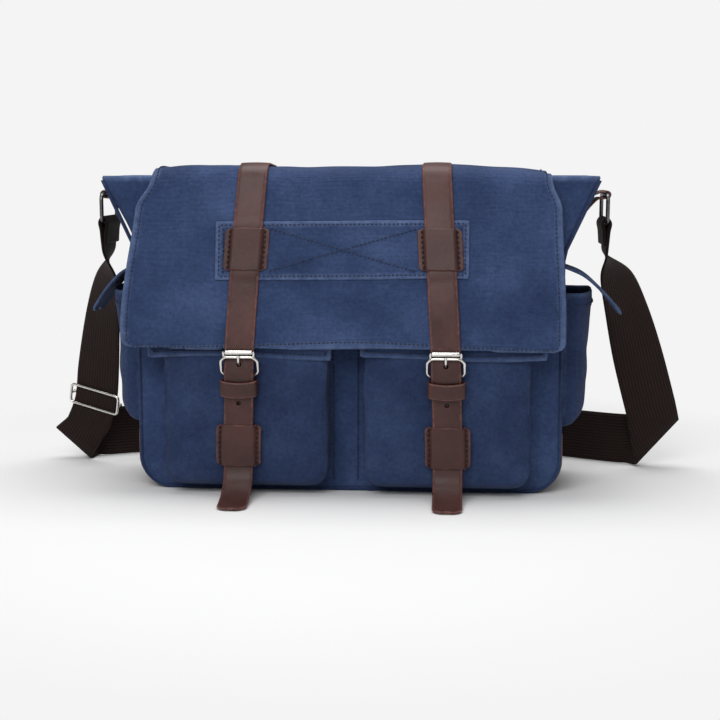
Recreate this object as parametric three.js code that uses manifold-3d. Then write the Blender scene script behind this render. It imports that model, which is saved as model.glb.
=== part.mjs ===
// A canvas messenger bag with leather closure straps, built from its separate pieces.
// Millimetres, +Z up, the front towards -Y, origin at the centre of the base's underside.

import * as THREE from "three";
import { mergeVertices } from "three/addons/utils/BufferGeometryUtils.js";
import Module from "manifold-3d";

const wasm = await Module();
wasm.setup();

// ---------------------------------------------------------------- driving dimensions

const GAP = 0.3; // running clearance between neighbouring pieces

// body of the bag
const BODY_WIDTH = 392;
const BODY_DEPTH = 105;
const BODY_HEIGHT = 290;
const CANVAS = 3;
const CORNER_RADIUS = 30;
const LEATHER_BASE_HEIGHT = 55;
const BOARD = 2;
const LINING = 1;
const RIM_FLARE = 32;
const FLARE_START = 0.76; // share of the height where the gussets start to splay
const DIVIDER_THICKNESS = 6;
const DIVIDER_SETBACK = 14; // from the lining at the back
const DIVIDER_DROP = 50; // below the rim

// main flap
const FLAP_WIDTH = 396;
const FLAP_SHIFT = -4; // the flap hangs a little to the left of the middle
const FLAP_CLEARANCE = 4; // the flap's crown above the rim
const FLAP = 4;
const FLAP_BOTTOM = 138;
const FLAP_BULGE_TOP = 172; // below this height the flap hangs almost straight
const FLAP_STANDOFF = 30.4; // how far the bulge stands in front of the body
const FLAP_CORNER = 9;
const BACK_STRIP_HEIGHT = 50;
const BAND_WIDTH = 226;
const BAND_HEIGHT = 50;
const BAND_CENTRE_Z = 224;
const BAND = 1;

// leather closure straps
const STRAP_WIDTH = 25;
const STRAP = 2.5;
const STRAP_SPACING = 165; // between the two straps at the top of the flap
const STRAP_SHIFT = -2.5; // of the pair, from the middle of the bag
const STRAP_SPLAY = 0.062; // sideways run of each strap per unit of drop, above the buckle
const STRAP_LOWER_SPLAY = 0.03; // and below it
const PATCH = 2;
const PATCH_WIDTH = 40;
const PATCH_HEIGHT = 37;
const LOWER_PATCH_CENTRE_Z = 49;
const TAIL_REACH = 50; // how far the tail runs out in front of the lower patch

// buckles
const WIRE = 2.6;
const BUCKLE_WIDTH = 36;
const BUCKLE_HEIGHT = 22;
const ROLLER_DIAMETER = 4.3;
const ROLLER_BORE = 2.7;
const ROLLER_LENGTH = 25;
const AXLE_DIAMETER = 1.9;
const ROLLER_LIFT = 4.6; // roller axis above the frame's front bar
const PRONG = 2.2;
const HOLE_WIDTH = 4;
const PRONG_SLOT = 14; // the hole's lower end, below the frame's front bar
const LOOP_WIDTH = 34;
const LOOP_HEIGHT = 13;

// front pockets and their flaps
const POCKET_WIDTH = 149;
const POCKET_GAP = 34; // between the two pockets
const POCKET_DEPTH = 26.5;
const POCKET_TOP = 150;
const POCKET_BOTTOM = 7;
const POCKET_CORNER = 14;
const POCKET_CLOTH = 2;
const POCKET_FLAP_WIDTH = 166;
const POCKET_FLAP_OUTSET = 5; // its middle, outwards of the pocket's middle
const POCKET_FLAP_BOTTOM = 129;
const POCKET_FLAP_TOP = 180;
const POCKET_FLAP = 2.4;

// side pockets and their flaps
const SIDE_POCKET_DEPTH = 88;
const SIDE_POCKET_BULGE = 26;
const SIDE_POCKET_BOTTOM = 62;
const SIDE_POCKET_TOP = 184;
const SIDE_FLAP_WIDTH = 48;
const SIDE_FLAP_Y = -20; // its middle, in front of the shoulder strap
const SIDE_FLAP_RISE = 26; // its root above the pocket's hem
const SIDE_FLAP_REACH = { left: 44, right: 52 };
const SIDE_FLAP_DROP = 44;
const SIDE_FLAP = 3;

// rings, shoulder strap and slider
const WEBBING = 2.4;
const WEBBING_WIDTH = 50;
const RING_WIRE = 4;
const RING_HEIGHT = 25;
const TAB = 2.4;
const TAB_WIDTH = 34;
const RING_TOP_DROP = 17; // ring axis below the rim
const TAB_REACH = 9; // how far the tab carries the ring out from the gusset
const SLIDER_HEIGHT = 22;
const SLIDER_BAR = 3;

// snaps
const SNAP_DIAMETER = 14;
const SNAP = 2;

// ---------------------------------------------------------------- colours

const finish = (color, roughness, metalness = 0) => ({ color, roughness, metalness });
const CLOTH = finish(0x33456f, 0.92);
const CLOTH_DARK = finish(0x22305a, 0.94);
const LINING_CLOTH = finish(0x1b2745, 0.9);
const LEATHER = finish(0x4a2a26, 0.55);
const WEB = finish(0x2a1c1a, 0.85);
const NICKEL = finish(0xb9b4b0, 0.28, 1);
const GUNMETAL = finish(0x55565a, 0.35, 1);
const BOARD_BLACK = finish(0x202020, 0.8);

// ---------------------------------------------------------------- shared geometry helpers

const bag = new THREE.Group();

function add(name, geometry, look) {
  const mesh = new THREE.Mesh(geometry, new THREE.MeshStandardMaterial(look));
  mesh.name = name;
  bag.add(mesh);
  return mesh;
}

function welded(geometry) {
  const bare = geometry.clone();
  bare.deleteAttribute("normal");
  bare.deleteAttribute("uv");
  return mergeVertices(bare, 1e-4);
}

function toSolid(geometry) {
  const mesh = welded(geometry);
  return new wasm.Manifold(new wasm.Mesh({
    numProp: 3,
    vertProperties: new Float32Array(mesh.attributes.position.array),
    triVerts: new Uint32Array(mesh.index.array),
  }));
}

function toGeometry(solid) {
  const mesh = solid.getMesh();
  const geometry = new THREE.BufferGeometry();
  geometry.setAttribute("position", new THREE.BufferAttribute(mesh.vertProperties, 3));
  geometry.setIndex(new THREE.BufferAttribute(mesh.triVerts, 1));
  return geometry;
}

const join = (...parts) => toGeometry(parts.map(toSolid).reduce((a, b) => a.add(b)));
const cut = (part, ...tools) =>
  toGeometry(tools.map(toSolid).reduce((a, b) => a.subtract(b), toSolid(part)));
const meet = (a, b) => toGeometry(toSolid(a).intersect(toSolid(b)));

const outline = (points) => new THREE.Shape(points.map(([u, v]) => new THREE.Vector2(u, v)));

function extruded(shape, length, curveSegments = 6) {
  return new THREE.ExtrudeGeometry(shape, { depth: length, bevelEnabled: false, curveSegments });
}

// A side-view outline of (y, z) points, run across the bag from x0 to x1.
function acrossX(points, x0, x1) {
  const geometry = extruded(outline(points), x1 - x0);
  const turn = new THREE.Matrix4().makeBasis(
    new THREE.Vector3(0, 1, 0), new THREE.Vector3(0, 0, 1), new THREE.Vector3(1, 0, 0));
  return geometry.applyMatrix4(turn).translate(x0, 0, 0);
}

// A front-view shape in (x, z), run through the bag from y0 to y1.
function throughY(shape, y0, y1, curveSegments = 6) {
  const geometry = extruded(shape, y1 - y0, curveSegments);
  return geometry.rotateX(Math.PI / 2).translate(0, y1, 0);
}

function box(x0, x1, y0, y1, z0, z1) {
  return new THREE.BoxGeometry(x1 - x0, y1 - y0, z1 - z0)
    .translate((x0 + x1) / 2, (y0 + y1) / 2, (z0 + z1) / 2);
}

// A front-view panel with square top corners and round bottom corners.
function panelShape(x0, x1, z0, z1, radius) {
  const shape = new THREE.Shape();
  shape.moveTo(x0, z1);
  shape.lineTo(x0, z0 + radius);
  shape.absarc(x0 + radius, z0 + radius, radius, Math.PI, 1.5 * Math.PI);
  shape.lineTo(x1 - radius, z0);
  shape.absarc(x1 - radius, z0 + radius, radius, 1.5 * Math.PI, 2 * Math.PI);
  shape.lineTo(x1, z1);
  shape.closePath();
  return shape;
}

// An open-topped strip that follows the round-bottomed outline, "wall" thick inwards.
function troughShape(x0, x1, z0, z1, radius, wall) {
  const inner = radius - wall;
  const shape = new THREE.Shape();
  shape.moveTo(x0, z1);
  shape.lineTo(x0, z0 + radius);
  shape.absarc(x0 + radius, z0 + radius, radius, Math.PI, 1.5 * Math.PI);
  shape.lineTo(x1 - radius, z0);
  shape.absarc(x1 - radius, z0 + radius, radius, 1.5 * Math.PI, 2 * Math.PI);
  shape.lineTo(x1, z1);
  shape.lineTo(x1 - wall, z1);
  shape.lineTo(x1 - wall, z0 + radius);
  shape.absarc(x1 - radius, z0 + radius, inner, 0, -0.5 * Math.PI, true);
  shape.lineTo(x0 + radius, z0 + wall);
  shape.absarc(x0 + radius, z0 + radius, inner, 1.5 * Math.PI, Math.PI, true);
  shape.lineTo(x0 + wall, z1);
  shape.closePath();
  return shape;
}

// Moves every vertex of a geometry by a function of its place.
function warped(geometry, move) {
  const place = geometry.attributes.position;
  for (let i = 0; i < place.count; i += 1) {
    const point = new THREE.Vector3().fromBufferAttribute(place, i);
    move(point);
    place.setXYZ(i, point.x, point.y, point.z);
  }
  return geometry;
}

// A polyline of (y, z) points moved sideways by "offset", to the left of its direction.
function offsetPath(path, offset) {
  const normals = path.slice(1).map(([y, z], i) => {
    const along = new THREE.Vector2(y - path[i][0], z - path[i][1]).normalize();
    return new THREE.Vector2(-along.y, along.x);
  });
  return path.map(([y, z], i) => {
    const before = normals[Math.max(i - 1, 0)];
    const after = normals[Math.min(i, normals.length - 1)];
    const mitre = before.clone().add(after).normalize();
    const reach = offset / mitre.dot(after);
    return [y + mitre.x * reach, z + mitre.y * reach];
  });
}

// The side-view outline of one layer outside a path, from point "first" to point "last" of it,
// between two offsets, its ends drawn back by the two trims.
function outside(path, [first, last], from, to, trimStart = 0, trimEnd = 0) {
  const drawBack = (points, index, towards, trim) => {
    const here = new THREE.Vector2(...points[index]);
    const next = new THREE.Vector2(...points[towards]);
    const moved = here.clone().add(next.sub(here).normalize().multiplyScalar(trim));
    points[index] = [moved.x, moved.y];
  };
  const sides = [to, from].map((offset) => offsetPath(path, -offset).slice(first, last + 1));
  for (const side of sides) {
    drawBack(side, 0, 1, trimStart);
    drawBack(side, side.length - 1, side.length - 2, trimEnd);
  }
  return [...sides[0], ...sides[1].reverse()];
}

// More stations, spread evenly along smooth curves through the ones that are given.
function smoothed(stations, count) {
  const curveOf = (key) => new THREE.CatmullRomCurve3(
    stations.map((station) => new THREE.Vector3(...station[key])), false, "centripetal");
  const [at, across] = [curveOf("at"), curveOf("across")];
  return Array.from({ length: count + 1 }, (_, i) => (
    { at: at.getPoint(i / count).toArray(), across: across.getPoint(i / count).toArray() }));
}

// A flat strap of rectangular section along stations of { at, across } vectors.
// Where "level" is 1 the width keeps the direction given, and where it is 0 it squares up.
function ribbon(stations, width, thickness, level = () => 0) {
  const points = stations.map((station) => new THREE.Vector3(...station.at));
  const corners = [];
  points.forEach((point, i) => {
    const ahead = points[Math.min(i + 1, points.length - 1)];
    const behind = points[Math.max(i - 1, 0)];
    const along = ahead.clone().sub(behind).normalize();
    const across = new THREE.Vector3(...stations[i].across).normalize();
    across.addScaledVector(along, -across.dot(along) * (1 - level(point))).normalize();
    const face = along.clone().cross(across).normalize();
    for (const [u, v] of [[-1, -1], [1, -1], [1, 1], [-1, 1]]) {
      corners.push(point.clone()
        .addScaledVector(across, u * width / 2)
        .addScaledVector(face, v * thickness / 2));
    }
  });
  const index = [];
  const quad = (a, b, c, d) => index.push(a, b, c, a, c, d);
  const back = 2; // this side is split along the same diagonal as the side it lies behind
  const last = (points.length - 1) * 4;
  quad(3, 2, 1, 0);
  quad(last, last + 1, last + 2, last + 3);
  for (let i = 0; i < last; i += 4) {
    for (let side = 0; side < 4; side += 1) {
      const next = (side + 1) % 4;
      if (side === back) quad(i + next, i + 4 + next, i + 4 + side, i + side);
      else quad(i + side, i + next, i + 4 + next, i + 4 + side);
    }
  }
  const geometry = new THREE.BufferGeometry();
  const flat = new Float32Array(corners.flatMap((corner) => corner.toArray()));
  geometry.setAttribute("position", new THREE.BufferAttribute(flat, 3));
  geometry.setIndex(index);
  return geometry;
}

// A rod of round section along a smooth curve through the points.
function rod(points, diameter, steps, sides = 8) {
  const curve = new THREE.CatmullRomCurve3(points.map((point) => new THREE.Vector3(...point)));
  const section = new THREE.Shape();
  for (let i = 0; i < sides; i += 1) {
    const angle = (i + 0.5) / sides * 2 * Math.PI;
    const spot = [Math.cos(angle) * diameter / 2, Math.sin(angle) * diameter / 2];
    if (i === 0) section.moveTo(...spot);
    else section.lineTo(...spot);
  }
  section.closePath();
  return new THREE.ExtrudeGeometry(section, { steps, extrudePath: curve, bevelEnabled: false });
}

const bothSides = (build) => {
  build("left", -1);
  build("right", 1);
};

// ---------------------------------------------------------------- derived places

const FRONT = -BODY_DEPTH / 2;
const BACK = BODY_DEPTH / 2;
const HALF = BODY_WIDTH / 2;
const GUSSET_EDGE = BACK - CANVAS - GAP; // half depth of the pieces between the two panels

// Inner face of the flap's cloth, from the back hem over the top to the front hem.
const FLAP_SEAT = BODY_HEIGHT + FLAP_CLEARANCE;
const flapPath = [
  [BACK + GAP, FLAP_SEAT - BACK_STRIP_HEIGHT],
  [BACK + GAP, FLAP_SEAT],
  [FRONT - GAP, FLAP_SEAT],
  [FRONT - FLAP_STANDOFF, FLAP_BULGE_TOP],
  [FRONT - FLAP_STANDOFF - 1.6, FLAP_BOTTOM],
];
const BAND_IN = FLAP + GAP;
const STRAP_IN = BAND_IN + BAND + GAP;
const STRAP_OUT = STRAP_IN + STRAP;
const PATCH_OUT = STRAP_OUT + GAP + PATCH;
const HINGE_OFFSET = STRAP_OUT + GAP;
const BEHIND = [0, 1]; // the stretches of the flap's path
const ON_TOP = [1, 2];
const IN_FRONT = [2, 4];
const SPLIT = 0.25; // each piece is drawn back this far from a fold

// Sideways place of a closure strap at a height: it slants outwards down to its lower patch.
const strapX = (side, z) => {
  const above = Math.min(Math.max(FLAP_SEAT - z, 0), FLAP_SEAT - FLAP_BOTTOM);
  const below = Math.min(Math.max(FLAP_BOTTOM - z, 0), FLAP_BOTTOM - LOWER_PATCH_CENTRE_Z);
  const run = STRAP_SPLAY * above + STRAP_LOWER_SPLAY * below;
  return STRAP_SHIFT + side * (STRAP_SPACING / 2 + run);
};

const splayed = (side) => (point) => {
  point.x += strapX(side, point.z);
};

// A strap-like strip, STRAP_WIDTH or another width wide, that follows the strap's slant.
const strapStrip = (side, section, width = STRAP_WIDTH) =>
  warped(acrossX(section, -width / 2, width / 2), splayed(side));

// ---------------------------------------------------------------- body of the bag

function flare(point) {
  const start = BODY_HEIGHT * FLARE_START;
  const rise = Math.max(point.z - start, 0) / (BODY_HEIGHT - start);
  const belly = 1 - (point.y / (BACK - CANVAS)) ** 2;
  point.x += Math.sign(point.x) * RIM_FLARE * rise * Math.max(belly, 0);
}

function buildBody() {
  const panel = panelShape(-HALF, HALF, 0, BODY_HEIGHT, CORNER_RADIUS);
  add("front_panel", throughY(panel, FRONT, FRONT + CANVAS), CLOTH_DARK);
  add("back_panel", throughY(panel, BACK - CANVAS, BACK), CLOTH);

  const base = troughShape(-HALF, HALF, 0, LEATHER_BASE_HEIGHT, CORNER_RADIUS, CANVAS);
  add("leather_base", throughY(base, -GUSSET_EDGE, GUSSET_EDGE), LEATHER);

  bothSides((hand, side) => {
    const bottom = LEATHER_BASE_HEIGHT + GAP;
    const height = BODY_HEIGHT - bottom;
    const start = BODY_HEIGHT * FLARE_START;
    const rows = [bottom, start, ...[1 / 3, 2 / 3, 1].map((t) => start + t * (BODY_HEIGHT - start))];
    const segments = rows.length - 1;
    const gusset = new THREE.BoxGeometry(CANVAS, 2 * GUSSET_EDGE, height, 1, 8, segments)
      .translate(side * (HALF - CANVAS / 2), 0, bottom + height / 2);
    add(`gusset_${hand}`, warped(welded(gusset), (point) => {
      point.z = rows[Math.round((point.z - bottom) / height * segments)];
      flare(point);
    }), CLOTH);
  });
}

function buildInside() {
  const boardHalf = HALF - CORNER_RADIUS - GAP;
  const boardBottom = CANVAS + GAP;
  add("base_board", box(-boardHalf, boardHalf, -GUSSET_EDGE + GAP, GUSSET_EDGE - GAP,
    boardBottom, boardBottom + BOARD), BOARD_BLACK);

  const liningHalf = HALF - CANVAS - GAP;
  const liningBottom = boardBottom + BOARD + GAP;
  const liningRadius = CORNER_RADIUS - CANVAS - GAP;
  const liningTop = BODY_HEIGHT - 1;
  const liningEdge = GUSSET_EDGE - GAP;
  const outer = panelShape(-liningHalf, liningHalf, liningBottom, liningTop, liningRadius);
  const inner = panelShape(-liningHalf + LINING, liningHalf - LINING, liningBottom + LINING,
    liningTop + LINING, liningRadius - LINING);
  add("lining", cut(
    throughY(outer, -liningEdge, liningEdge),
    throughY(inner, -liningEdge + LINING, liningEdge - LINING)), LINING_CLOTH);

  const dividerHalf = liningHalf - LINING - GAP;
  const dividerBack = liningEdge - LINING - DIVIDER_SETBACK;
  const divider = panelShape(-dividerHalf, dividerHalf, liningBottom + LINING + GAP,
    BODY_HEIGHT - DIVIDER_DROP, liningRadius - LINING);
  add("laptop_divider", throughY(divider, dividerBack - DIVIDER_THICKNESS, dividerBack),
    LINING_CLOTH);
}

// ---------------------------------------------------------------- main flap

function buildFlap() {
  const [x0, x1] = [FLAP_SHIFT - FLAP_WIDTH / 2, FLAP_SHIFT + FLAP_WIDTH / 2];
  add("flap_back_strip", acrossX(outside(flapPath, BEHIND, 0, FLAP, 0, SPLIT), x0, x1), CLOTH);
  add("flap_top", acrossX(outside(flapPath, ON_TOP, 0, FLAP, SPLIT, SPLIT), x0, x1), CLOTH);

  const front = acrossX(outside(flapPath, IN_FRONT, 0, FLAP, SPLIT, 0), x0, x1);
  const frame = panelShape(x0, x1, FLAP_BOTTOM - 1, FLAP_SEAT + 20, FLAP_CORNER);
  add("flap_front", meet(front, throughY(frame, FRONT - 60, FRONT + 20)), CLOTH);

  const band = acrossX(outside(flapPath, IN_FRONT, BAND_IN, BAND_IN + BAND),
    FLAP_SHIFT - BAND_WIDTH / 2, FLAP_SHIFT + BAND_WIDTH / 2);
  add("reinforcement_band", meet(band, box(-BAND_WIDTH, BAND_WIDTH, FRONT - 60, FRONT + 20,
    BAND_CENTRE_Z - BAND_HEIGHT / 2, BAND_CENTRE_Z + BAND_HEIGHT / 2)), CLOTH);
}

function buildFlapStraps() {
  bothSides((hand, side) => {
    add(`strap_back_${hand}`, strapStrip(side, outside(flapPath, BEHIND, STRAP_IN, STRAP_OUT, 0, SPLIT)),
      LEATHER);
    add(`strap_top_${hand}`, strapStrip(side, outside(flapPath, ON_TOP, STRAP_IN, STRAP_OUT, SPLIT, SPLIT)),
      LEATHER);
    add(`strap_front_${hand}`, strapStrip(side, outside(flapPath, IN_FRONT, STRAP_IN, STRAP_OUT, SPLIT, 0)),
      LEATHER);

    const patch = strapStrip(side, outside(flapPath, IN_FRONT, BAND_IN + BAND + GAP, PATCH_OUT), PATCH_WIDTH);
    const channel = strapStrip(side, outside(flapPath, IN_FRONT, 0, STRAP_OUT + GAP),
      STRAP_WIDTH + 2 * GAP);
    const cutOut = box(-BODY_WIDTH, BODY_WIDTH, FRONT - 60, FRONT + 20,
      BAND_CENTRE_Z - PATCH_HEIGHT / 2, BAND_CENTRE_Z + PATCH_HEIGHT / 2);
    add(`keeper_patch_${hand}`, cut(meet(patch, cutOut), channel), LEATHER);
  });
}

// ---------------------------------------------------------------- front pockets

const FACE_OUT = FRONT - POCKET_DEPTH;
const FACE_IN = FACE_OUT + POCKET_CLOTH;
const pocketEdges = (side) => {
  const near = POCKET_GAP / 2;
  const far = near + POCKET_WIDTH;
  return side > 0 ? [near, far] : [-far, -near];
};

function buildFrontPockets() {
  bothSides((hand, side) => {
    const [x0, x1] = pocketEdges(side);
    const face = panelShape(x0, x1, POCKET_BOTTOM, POCKET_TOP, POCKET_CORNER);
    add(`pocket_face_${hand}`, throughY(face, FACE_OUT, FACE_IN), CLOTH_DARK);
    const gusset = troughShape(x0, x1, POCKET_BOTTOM, POCKET_TOP, POCKET_CORNER, POCKET_CLOTH);
    add(`pocket_gusset_${hand}`, throughY(gusset, FACE_IN + GAP, FRONT - GAP), CLOTH_DARK);

    const middle = (x0 + x1) / 2 + side * POCKET_FLAP_OUTSET;
    const shoulder = FACE_OUT - 2 * GAP;
    const flapPathHere = [
      [FRONT - 2 * GAP, POCKET_FLAP_TOP],
      [shoulder, POCKET_FLAP_TOP - 18],
      [shoulder, POCKET_FLAP_BOTTOM],
    ];
    add(`front_pocket_flap_${hand}`, acrossX(outside(flapPathHere, [0, 2], 0, POCKET_FLAP),
      middle - POCKET_FLAP_WIDTH / 2, middle + POCKET_FLAP_WIDTH / 2), CLOTH_DARK);
  });
}

// ---------------------------------------------------------------- closures

// Depths of the stacked layers over a pocket's face, from the face outwards.
const SOCKET_IN = FACE_OUT - GAP;
const STUD_IN = SOCKET_IN - SNAP - GAP;
const CHAPE_IN = STUD_IN - SNAP - GAP;
const CHAPE = 2;
const TONGUE_IN = CHAPE_IN - CHAPE - GAP;
const TONGUE_OUT = TONGUE_IN - STRAP;
const SNAP_Z = LOWER_PATCH_CENTRE_Z;

// The buckle leans: its heel bar lies behind the tongue and its front bar before it.
const STRAP_FACE = flapPath[4][0] - STRAP_OUT;
const ROLLER_Y = STRAP_FACE - GAP - ROLLER_DIAMETER / 2;
const ROLLER_Z = FLAP_BOTTOM - 3;
const LEAN = 22 * Math.PI / 180;
const alongFrame = (drop) => [
  ROLLER_Y + Math.sin(LEAN) * drop,
  ROLLER_Z - Math.cos(LEAN) * drop,
];
const [BAR_Y, BAR_Z] = alongFrame(ROLLER_LIFT);
const [HEEL_Y, HEEL_Z] = alongFrame(ROLLER_LIFT + BUCKLE_HEIGHT - WIRE);
const BAR_REACH = WIRE * 0.7; // a square bar's half diagonal, nearly
const HEEL_BORE = BAR_REACH + GAP;
const HEEL_EYE = HEEL_BORE + CHAPE;

// Inner face of the tongue, from under the roller to the tip on the ground.
const tonguePath = [
  [ROLLER_Y + ROLLER_DIAMETER / 2 + GAP + STRAP, ROLLER_Z + 1.5],
  [BAR_Y + BAR_REACH + 2 * GAP + STRAP, BAR_Z - 1],
  [HEEL_Y - HEEL_EYE - GAP, HEEL_Z],
  [TONGUE_IN, HEEL_Z - 16],
  [TONGUE_IN, LOWER_PATCH_CENTRE_Z - PATCH_HEIGHT / 2],
  [TONGUE_IN - 4, LOWER_PATCH_CENTRE_Z - PATCH_HEIGHT / 2 - 14],
  [TONGUE_IN - 0.45 * TAIL_REACH, 5],
  [TONGUE_IN - TAIL_REACH, 0.5],
];

function buildSnaps() {
  const disc = (side, y0, y1) => new THREE.CylinderGeometry(
    SNAP_DIAMETER / 2, SNAP_DIAMETER / 2, y1 - y0, 16)
    .translate(strapX(side, SNAP_Z), (y0 + y1) / 2, SNAP_Z);
  bothSides((hand, side) => {
    add(`snap_socket_${hand}`, disc(side, SOCKET_IN - SNAP, SOCKET_IN), GUNMETAL);
    add(`snap_stud_${hand}`, disc(side, STUD_IN - SNAP, STUD_IN), GUNMETAL);
  });
}

function buildTongue(hand, side) {
  const strip = acrossX(outside(tonguePath, [0, tonguePath.length - 1], 0, STRAP),
    -STRAP_WIDTH / 2, STRAP_WIDTH / 2);
  const slot = box(-HOLE_WIDTH / 2, HOLE_WIDTH / 2, BAR_Y - 4, HEEL_Y + 4,
    BAR_Z - PRONG_SLOT, BAR_Z - 2.5);
  add(`strap_tongue_${hand}`, warped(cut(strip, slot), splayed(side)), LEATHER);
}

function buildChape(hand, side) {
  const bottom = LOWER_PATCH_CENTRE_Z - PATCH_HEIGHT / 2;
  const strip = acrossX([
    [CHAPE_IN, bottom], [CHAPE_IN, HEEL_Z - 12], [HEEL_Y + HEEL_EYE - 0.2, HEEL_Z - 1],
    [HEEL_Y + HEEL_EYE - 0.2 - CHAPE, HEEL_Z - 1], [CHAPE_IN - CHAPE, HEEL_Z - 14],
    [CHAPE_IN - CHAPE, bottom],
  ], -STRAP_WIDTH / 2, STRAP_WIDTH / 2);
  const eye = new THREE.CylinderGeometry(HEEL_EYE, HEEL_EYE, STRAP_WIDTH, 16)
    .rotateZ(Math.PI / 2).translate(0, HEEL_Y, HEEL_Z);
  const bore = new THREE.CylinderGeometry(HEEL_BORE, HEEL_BORE, STRAP_WIDTH + 2, 16)
    .rotateZ(Math.PI / 2).translate(0, HEEL_Y, HEEL_Z);
  const slot = box(-HOLE_WIDTH / 2, HOLE_WIDTH / 2, HEEL_Y - 12, HEEL_Y + 12,
    HEEL_Z - 8, HEEL_Z + 8);
  const chape = cut(join(strip, eye), bore, slot);
  add(`chape_${hand}`, warped(chape, splayed(side)), LEATHER);
}

function buildBuckle(hand, side) {
  const x = strapX(side, BAR_Z);
  const halfOut = BUCKLE_WIDTH / 2;
  const top = WIRE / 2;
  const low = WIRE / 2 - BUCKLE_HEIGHT;
  const loop = outline([
    [-halfOut + 4, top], [-halfOut, top - 4], [-halfOut, low + 5], [-halfOut + 4, low],
    [halfOut - 4, low], [halfOut, low + 5], [halfOut, top - 4], [halfOut - 4, top],
  ]);
  const halfIn = halfOut - WIRE;
  loop.holes.push(outline([
    [-halfIn + 3, top - WIRE], [-halfIn, top - WIRE - 3], [-halfIn, low + WIRE + 3],
    [-halfIn + 1, low + WIRE], [halfIn - 1, low + WIRE], [halfIn, low + WIRE + 3],
    [halfIn, top - WIRE - 3], [halfIn - 3, top - WIRE],
  ]));
  const frame = throughY(loop, -WIRE / 2, WIRE / 2);
  const lugs = [-1, 1].map((end) => {
    const inner = ROLLER_LENGTH / 2 + GAP;
    const [a, b] = end > 0 ? [inner, inner + 1.6] : [-inner - 1.6, -inner];
    return box(a, b, -1.1, 1.1, -0.5, ROLLER_LIFT + 1.1);
  });
  const axle = new THREE.CylinderGeometry(AXLE_DIAMETER / 2, AXLE_DIAMETER / 2,
    ROLLER_LENGTH + 2 * GAP + 2, 8).rotateZ(Math.PI / 2).translate(0, 0, ROLLER_LIFT);
  const whole = join(frame, ...lugs, axle);
  whole.rotateX(LEAN).translate(x, BAR_Y, BAR_Z);
  add(`buckle_frame_${hand}`, whole, NICKEL);

  const tube = new THREE.LatheGeometry([
    [ROLLER_BORE / 2, -ROLLER_LENGTH / 2], [ROLLER_DIAMETER / 2, -ROLLER_LENGTH / 2],
    [ROLLER_DIAMETER / 2, ROLLER_LENGTH / 2], [ROLLER_BORE / 2, ROLLER_LENGTH / 2],
    [ROLLER_BORE / 2, -ROLLER_LENGTH / 2],
  ].map(([r, h]) => new THREE.Vector2(r, h)), 16);
  add(`buckle_roller_${hand}`, tube.rotateZ(Math.PI / 2).translate(x, ROLLER_Y, ROLLER_Z), NICKEL);

  const tipY = BAR_Y - BAR_REACH - GAP - PRONG / 2;
  const eye = new THREE.CylinderGeometry(HEEL_BORE + 1.2, HEEL_BORE + 1.2, PRONG + 0.6, 16)
    .rotateZ(Math.PI / 2).translate(0, HEEL_Y, HEEL_Z);
  const bore = new THREE.CylinderGeometry(HEEL_BORE, HEEL_BORE, HOLE_WIDTH, 16)
    .rotateZ(Math.PI / 2).translate(0, HEEL_Y, HEEL_Z);
  const behind = HEEL_Y - HEEL_BORE - 0.3;
  const pin = rod([
    [0, behind, HEEL_Z + 1], [0, behind + 0.2, BAR_Z - 10.5],
    [0, tipY + 1.4, BAR_Z - 5], [0, tipY - 0.2, BAR_Z - 1], [0, tipY, BAR_Z + 1],
  ], PRONG, 10);
  const prong = cut(join(eye, pin), bore);
  add(`buckle_prong_${hand}`, warped(prong, splayed(side)), NICKEL);
}

function buildKeepers(hand, side) {
  const loopTop = HEEL_Z - HEEL_EYE;
  const loopWall = 1.8;
  const inner = [HEEL_Y + HEEL_EYE + GAP, HEEL_Y - HEEL_EYE - 2 * GAP - STRAP];
  const halfHole = STRAP_WIDTH / 2 + 1;
  const z0 = loopTop - LOOP_HEIGHT;
  const solid = box(-LOOP_WIDTH / 2, LOOP_WIDTH / 2, inner[1] - loopWall, inner[0] + loopWall,
    z0, loopTop);
  const hole = box(-halfHole, halfHole, inner[1], inner[0], z0 - 1, loopTop + 1);
  add(`keeper_loop_${hand}`, warped(cut(solid, hole), splayed(side)), LEATHER);

  const bottom = LOWER_PATCH_CENTRE_Z - PATCH_HEIGHT / 2;
  const front = TONGUE_OUT - GAP - PATCH;
  const patch = box(-PATCH_WIDTH / 2, PATCH_WIDTH / 2, front, CHAPE_IN, bottom, bottom + PATCH_HEIGHT);
  const channelHalf = STRAP_WIDTH / 2 + GAP;
  const channel = box(-channelHalf, channelHalf, TONGUE_OUT - GAP, CHAPE_IN + 1,
    bottom - 1, bottom + PATCH_HEIGHT + 1);
  add(`lower_patch_${hand}`, warped(cut(patch, channel), splayed(side)), LEATHER);
}

// ---------------------------------------------------------------- side pockets

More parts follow.
